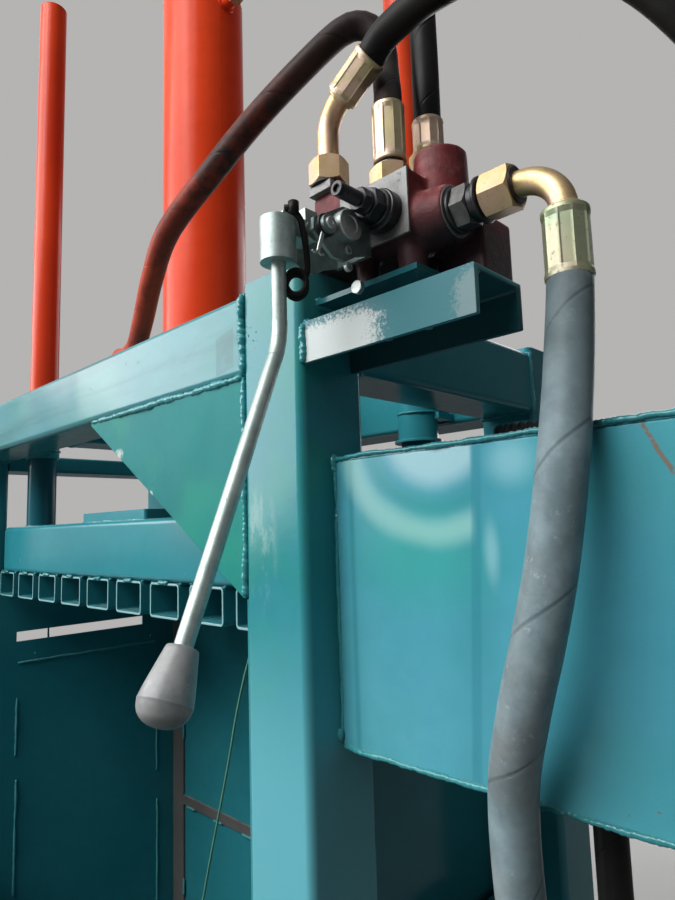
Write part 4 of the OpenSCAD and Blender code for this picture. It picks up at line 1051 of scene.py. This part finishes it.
def bracket_parts():
    steel, black = Shape(), Shape()
    pin_end = [(4.4, 0), (4.4, 7), (5.6, 7.3), (6, 8.2), (6, 10.6), (5.2, 11.6), (2.2, 11.8), (1.6, 11), (0, 11)]
    hub_cap = [(15.5, -3), (15.5, 10.5), (14.6, 11.6), (9.0, 11.8), (8.2, 10.6), (0, 10.4)]
    collar = [(5.0, 1.8), (10.6, 1.8), (11.2, 2.4), (11.2, 4.6), (10.6, 5.2), (5.0, 5.2)]
    pin_washer = washer(4.4, 8.5, 0.3, 0.3, 1.3, 1.6)
    put_all(
        (steel, pin_washer, (710.2, -354, 1843), X), (steel, pin_washer, (661.8, -354, 1843), -X),
        (steel, lathe(pin_end, 40), (710, -354, 1843), X), (black, ring(collar, 44), (710, -354, 1843), X),
        (steel, lathe(hub_cap, 56), (710, -327, 1850), X),
        (steel, socket_head(4.6, 4.0, 2.2, 1.6, 28), (710, -323, 1828), X),
        (steel, socket_head(4.6, 4.0, 2.2, 1.6, 28), (710, -323, 1811), X),
        (steel, cotter(vec(713.8, -358, 1836), vec(0, -0.32, -0.95), Y, 24, 1.3)),
        (steel, cotter(vec(658.5, -354, 1851.5), -Z, Y)),
        (steel, lathe([(4, 0), (4, 6), (3.4, 6.8), (0, 7)], 32), (662, -354, 1843), -X),
        (black, socket_head(6.4, 6, 3.2, 2.8, 32), (668, -290, 1884.5), -Y),
        (black, socket_head(6.4, 6, 3.2, 2.8, 32), (704, -290, 1884.5), -Y),
        (steel, bolt_head(13, 6), (703, -297, 1799), -Y, 8))
    piece("bracket_pin_parts", steel, "frame", "zinc_steel", zinc, sharp=30, bevel=0.25)
    piece("bracket_screws", black, "frame", "black_oxide", black_steel, sharp=30, bevel=0.25)


def strap_and_knob():
    lean = vec(0.717, 0.697, 0)
    line = [(697, -382, 1857), (700.4, -374.7, 1847), (701, -371.9, 1837), (701.2, -369.3, 1823), (700.7, -367.4, 1809),
            (699.5, -366.9, 1797), (696, -369, 1790)]
    strap = sweep(catmull([Vector(p) for p in line], 2.0), 3.1, 14)
    for at in (vec(691, -372.8, 1784.5), vec(693.6, -375.4, 1787.5)):
        loop = [at + lean * (9.6 * cos(t)) + Z * (11.6 * sin(t)) for t in angles(40)]
        strap.put(sweep(loop, 2.7, 12, closed=True))
    strap.put(lathe([(4.2, 0), (5.2, 0.6), (5.2, 13), (4.2, 13.8)], 24), (697.5, -380, 1850))
    strap.put(lathe([(3.4, 0), (3.4, 7), (2.8, 7.8)], 20), (697, -381, 1857), vec(-0.7, -0.7, 0))
    piece("rubber_strap", strap, "lever", "hose_rubber", hose_black, sharp=60)

    # The rod turns 15 degrees about the upright, then leans 27 degrees over a bend of 80 mm radius.
    swing, bend, reach = radians(27), 80, 260
    knob_frame = (Matrix.Translation(vec(686, -390, 1749)) @ Matrix.Rotation(radians(15), 4, "Z")
                  @ Matrix.Translation(vec(0, -bend * (1 - cos(swing)), -bend * sin(swing)))
                  @ Matrix.Rotation(-swing, 4, "X") @ Matrix.Translation(vec(0, 0, -reach))
                  @ Matrix.Rotation(pi, 4, "X"))
    outline = [(0, 0), (9.5, 0), (11.2, 0.4), (11.9, 1.6), (12.4, 4), (13.4, 9), (15.2, 18), (17.0, 27), (18.3, 34),
               (18.95, 38.5), (19.25, 40.6), (19.42, 41.1), (19.42, 41.5), (19.2, 42), (18.9, 44), (18.1, 47.4),
               (16.6, 50.8), (14.3, 53.6), (11.2, 56), (7.6, 57.6), (3.6, 58.4), (0, 58.5)]
    knob = lathe([(r, z * 0.905) for r, z in outline], 72)
    knob.verts = [knob_frame @ v for v in knob.verts]
    piece("lever_grip", knob, "lever", "knob_plastic", knob_grey, sharp=60, replaces=("lever_knob",))


def bolts_and_studs():
    """Screws, washers and stud ends that hold the valve plate, the cylinder's flange and the feet."""
    shape = Shape()
    for x in (695, 747):
        put_all((shape, bolt_head(16.6, 13.0), (x, -245, 1787.6), Z, 15),
                (shape, bolt_head(16.6, 12.0), (x, -245, 1765.0), Z, 15),
                (shape, cone(4.8, 4.8, 60), (x, -245, 1757)),
                (shape, washer(5.2, 10.5, 0.3, 0.4, 1.6, 2), (x, -245, 1801.8)))
    bolt_circle = 104
    for i in range(8):
        a = radians(22.5 + 45 * i)
        x, y = bolt_circle * cos(a), AXIS_Y + bolt_circle * sin(a)
        shape.put(washer(8.6, 15, 0.4, 0.5, 2, 2.4), (x, y, 1875.1))
        shape.put(bolt_head(23.5, 12), (x, y, 1877.5), Z, degrees(a))
    for sx in (-1, 1):
        for sy in (-1, 1):
            x, y = sx * 660, sy * 260
            shape.put(washer(7, 14.4, 0.4, 0.5, 2, 2.4), (x, y, 12))
            shape.put(bolt_head(19, 9), (x, y, 14.4), Z, 20 * sx + 5 * sy)
            shape.put(cone(5.8, 5.4, 9), (x, y, 21))
    piece("bolts_and_washers", shape, "frame", "zinc_steel", zinc, sharp=30, bevel=0.4)


bracket_parts()
strap_and_knob()
bolts_and_studs()


# ---------------------------------------------------------------- tank, motor, pump and latch
def tank_details():
    dome = [(30, 0), (37, 0.4), (38.4, 2), (38.4, 17), (36.5, 20.6), (30, 22.2), (20, 22.8), (0, 23)]
    cap = Shape().put(lathe(dome, 144, lambda r, z, a: r + 1.1 * sin(24 * a)), (745, -49, 1655.5))
    piece("filler_cap", cap, "frame", "black_oxide", black_plastic, sharp=40)
    gauge = block((1074, -150, 1400), (1075.8, -120, 1560))
    piece("gauge_backing", gauge, "frame", "bare_steel", bare, bevel=0.4)
    plug = Shape().put(bolt_head(22, 9), (1000, -230, 1336), -Z, 10).put(cone(15, 15, 2.5), (1000, -230, 1335.9), -Z)
    piece("drain_plug", plug, "frame", "zinc_steel", zinc, sharp=30, bevel=0.4)


def motor_details():
    """Finned motor with its fan cowl, terminal box, coupling bell and gear pump."""
    x, y = MOTOR
    body = Shape().put(lathe([(76, 14), (76, 232)], 96), (x, y, 750))
    fin = [[1, 3, 5, 4, 2, 0], [6, 8, 10, 11, 9, 7]]
    fin += [[a, b, b + 6, a + 6] for a, b in ((0, 2), (2, 4), (5, 3), (3, 1), (4, 5), (1, 0))]
    for a in angles(44):
        if abs(a - pi) >= 0.52:
            u, v = vec(cos(a), sin(a), 0), vec(-sin(a), cos(a), 0)
            body.add([vec(x, y, z) + u * r + v * (s * w) for z in (790, 978)
                      for r, w in ((74, 1.9), (88.4, 1.1), (89.6, 0.5)) for s in (-1, 1)], fin)
    body.put(lathe([(99, 0), (99, 11), (97, 14), (84, 14.4), (80, 22), (80, 24)], 96), (x, y, 750))
    body.put(lathe([(80, 228), (90, 230), (90, 236), (84, 250), (83, 250)], 96), (x, y, 750))
    paint = ("frame", "motor_paint", motor_paint)
    piece("motor_frame", body, *paint, sharp=35, bevel=0.8, replaces=("pump_motor",))
    piece("terminal_box", block((748, -244, 832), (800, -156, 928)), *paint, bevel=5, segments=3,
          replaces=("pump_motor",))
    lid = block((747, -240, 836), (750.5, -160, 924))
    for side in (-234, -166):
        for z in (842, 918):
            lid.put(lathe([(4.2, 0), (4.2, 1.4), (3.2, 2.4), (0, 2.6)], 24), (749.5, side, z), -X)
    lid.put(bolt_head(24, 9), (775, -200, 832), -Z).put(sleeve(8, 9.5), (775, -200, 824), -Z)
    piece("terminal_lid", lid, *paint, sharp=30, bevel=1.0, replaces=("pump_motor",))

    bell = Shape().put(lathe([(60, 0), (60, 8), (53, 12), (50, 24), (50, 30)], 80), (x, y, 1000))
    piece("coupling_bell", bell, "frame", "bare_steel", cast_alu, sharp=35, bevel=1.2, replaces=("oil_pump",))
    gear = Shape()
    for corners in (((824, -247, 1031), (926, -153, 1051)), ((826, -245, 1052), (924, -155, 1088)),
                    ((824, -247, 1089), (926, -153, 1109.5)), ((815, -304, 1051), (869, -228, 1109.5))):
        gear.put(block(*corners))
    piece("gear_pump", gear, "frame", "bare_steel", cast_alu, bevel=6, segments=3, replaces=("oil_pump",))
    screws = Shape()
    for corner in ((834, -237), (834, -163), (916, -237), (916, -163)):
        screws.put(bolt_head(13, 6.5), (*corner, 1109.3), Z, 12)
    for count, start, r, af, h, z in ((6, 0.3, 92, 13, 6, 763.5), (4, 0.8, 54, 10, 5, 1008)):
        for k, turn in enumerate(angles(count)):
            a = turn + start
            screws.put(bolt_head(af, h), (x + r * cos(a), y + r * sin(a), z), Z, 20 * k)
    piece("pack_screws", screws, "frame", "zinc_steel", zinc, sharp=30, bevel=0.35)


def latch_grip():
    profile = [(7, 0), (8.2, 0.6), (8.6, 2)] + [(8.6, 2 + 1.2 * k) for k in range(1, 36)]
    grip = lathe(profile + [(8.2, 46.5), (6.4, 47.6), (0, 48)], 40, lambda r, z, a: r + 0.35 * sin(z * 2.2))
    piece("latch_grip", Shape().put(grip, (590, -333.5, 794), -Y), "latch", "hose_rubber", hose_black, sharp=60)


tank_details()
motor_details()
latch_grip()

# ---------------------------------------------------------------- floor, light and background
BACKDROP = (0.46, 0.455, 0.445, 1)


def floor():
    """A pale floor that reflects little light onto the machine and fades into the backdrop."""
    p = Paint("floor_pale", rough=0.7)
    camera, glossy, seen = p.rays()
    pale = p.mix(p.cloud(0.3, 0.7, 0.8, 4), (0.62, 0.62, 0.60), (0.56, 0.56, 0.55))
    material = p.use(p.mix(seen, (0.13, 0.13, 0.13), p.coat(pale, (0.2, 0.2, 0.2), glossy, 0.6)))
    x, y, _ = p.axes()
    share = p.mul(p.step(p.span(x, y), 1.8, 7.5), camera)
    glow = p.node("ShaderNodeEmission", {"Color": BACKDROP})
    p.plug(p.out, p.node("ShaderNodeMixShader", {0: share, 1: p.bsdf.outputs[0], 2: glow.outputs[0]}).outputs[0])
    mesh = bpy.data.meshes.new("floor")
    half = 40
    corners = [(-half, -half, 0), (half, -half, 0), (half, half, 0), (-half, half, 0)]
    mesh.from_pydata(corners, [], [(0, 1, 2, 3)])
    mesh.materials.append(material)
    ground = bpy.data.objects.new("floor", mesh)
    scene.collection.objects.link(ground)


def lamp(name, at, aim, power, w, h):
    data = bpy.data.lights.new(name, "AREA")
    data.shape, data.size, data.size_y, data.energy = "RECTANGLE", w, h, power
    obj = bpy.data.objects.new(name, data)
    obj.matrix_world = basis(at, vec(*at) - vec(*aim))
    scene.collection.objects.link(obj)


def surroundings():
    """A soft sky that mirror faces see, a plain backdrop for the camera and a faint light for all else."""
    world = bpy.data.worlds.new("world")
    world.use_nodes = True
    w = Nodes(world.node_tree, "ShaderNodeOutputWorld")
    camera, _, seen = w.rays()
    height = w.vector("DOT_PRODUCT", w.coords["Generated"], (-0.50, -0.50, 0.71), "Value")
    ramp = w.node("ShaderNodeValToRGB", {0: height})
    dark, bright = ramp.color_ramp.elements
    dark.position, dark.color = 0.0, (0.085, 0.09, 0.095, 1)
    bright.position, bright.color = 0.95, (0.88, 0.89, 0.90, 1)
    sky = w.node("ShaderNodeBackground", {0: w.mix(camera, ramp.outputs[0], BACKDROP), 1: 1.0}).outputs[0]
    faint = w.node("ShaderNodeBackground", {0: (0.9, 0.95, 1.0), 1: 0.06}).outputs[0]
    w.plug(w.out, w.node("ShaderNodeMixShader", {0: seen, 1: faint, 2: sky}).outputs[0])
    scene.world = world


floor()
lamp("key", (-2.6, -4.9, 4.9), (0.4, -0.2, 1.5), 780, 9.6, 4.2)
lamp("top_front", (0.75, -3.6, 5.2), (0.6, -0.3, 1.5), 95, 2.6, 2.6)
lamp("back_fill", (-0.5, 5.0, 3.2), (0, 0, 1.2), 90, 4.0, 3.0)
lamp("right_fill", (5.0, 0.8, 2.8), (0.4, 0, 1.2), 10, 3.0, 3.0)
surroundings()
scene.view_settings.view_transform = "Standard"
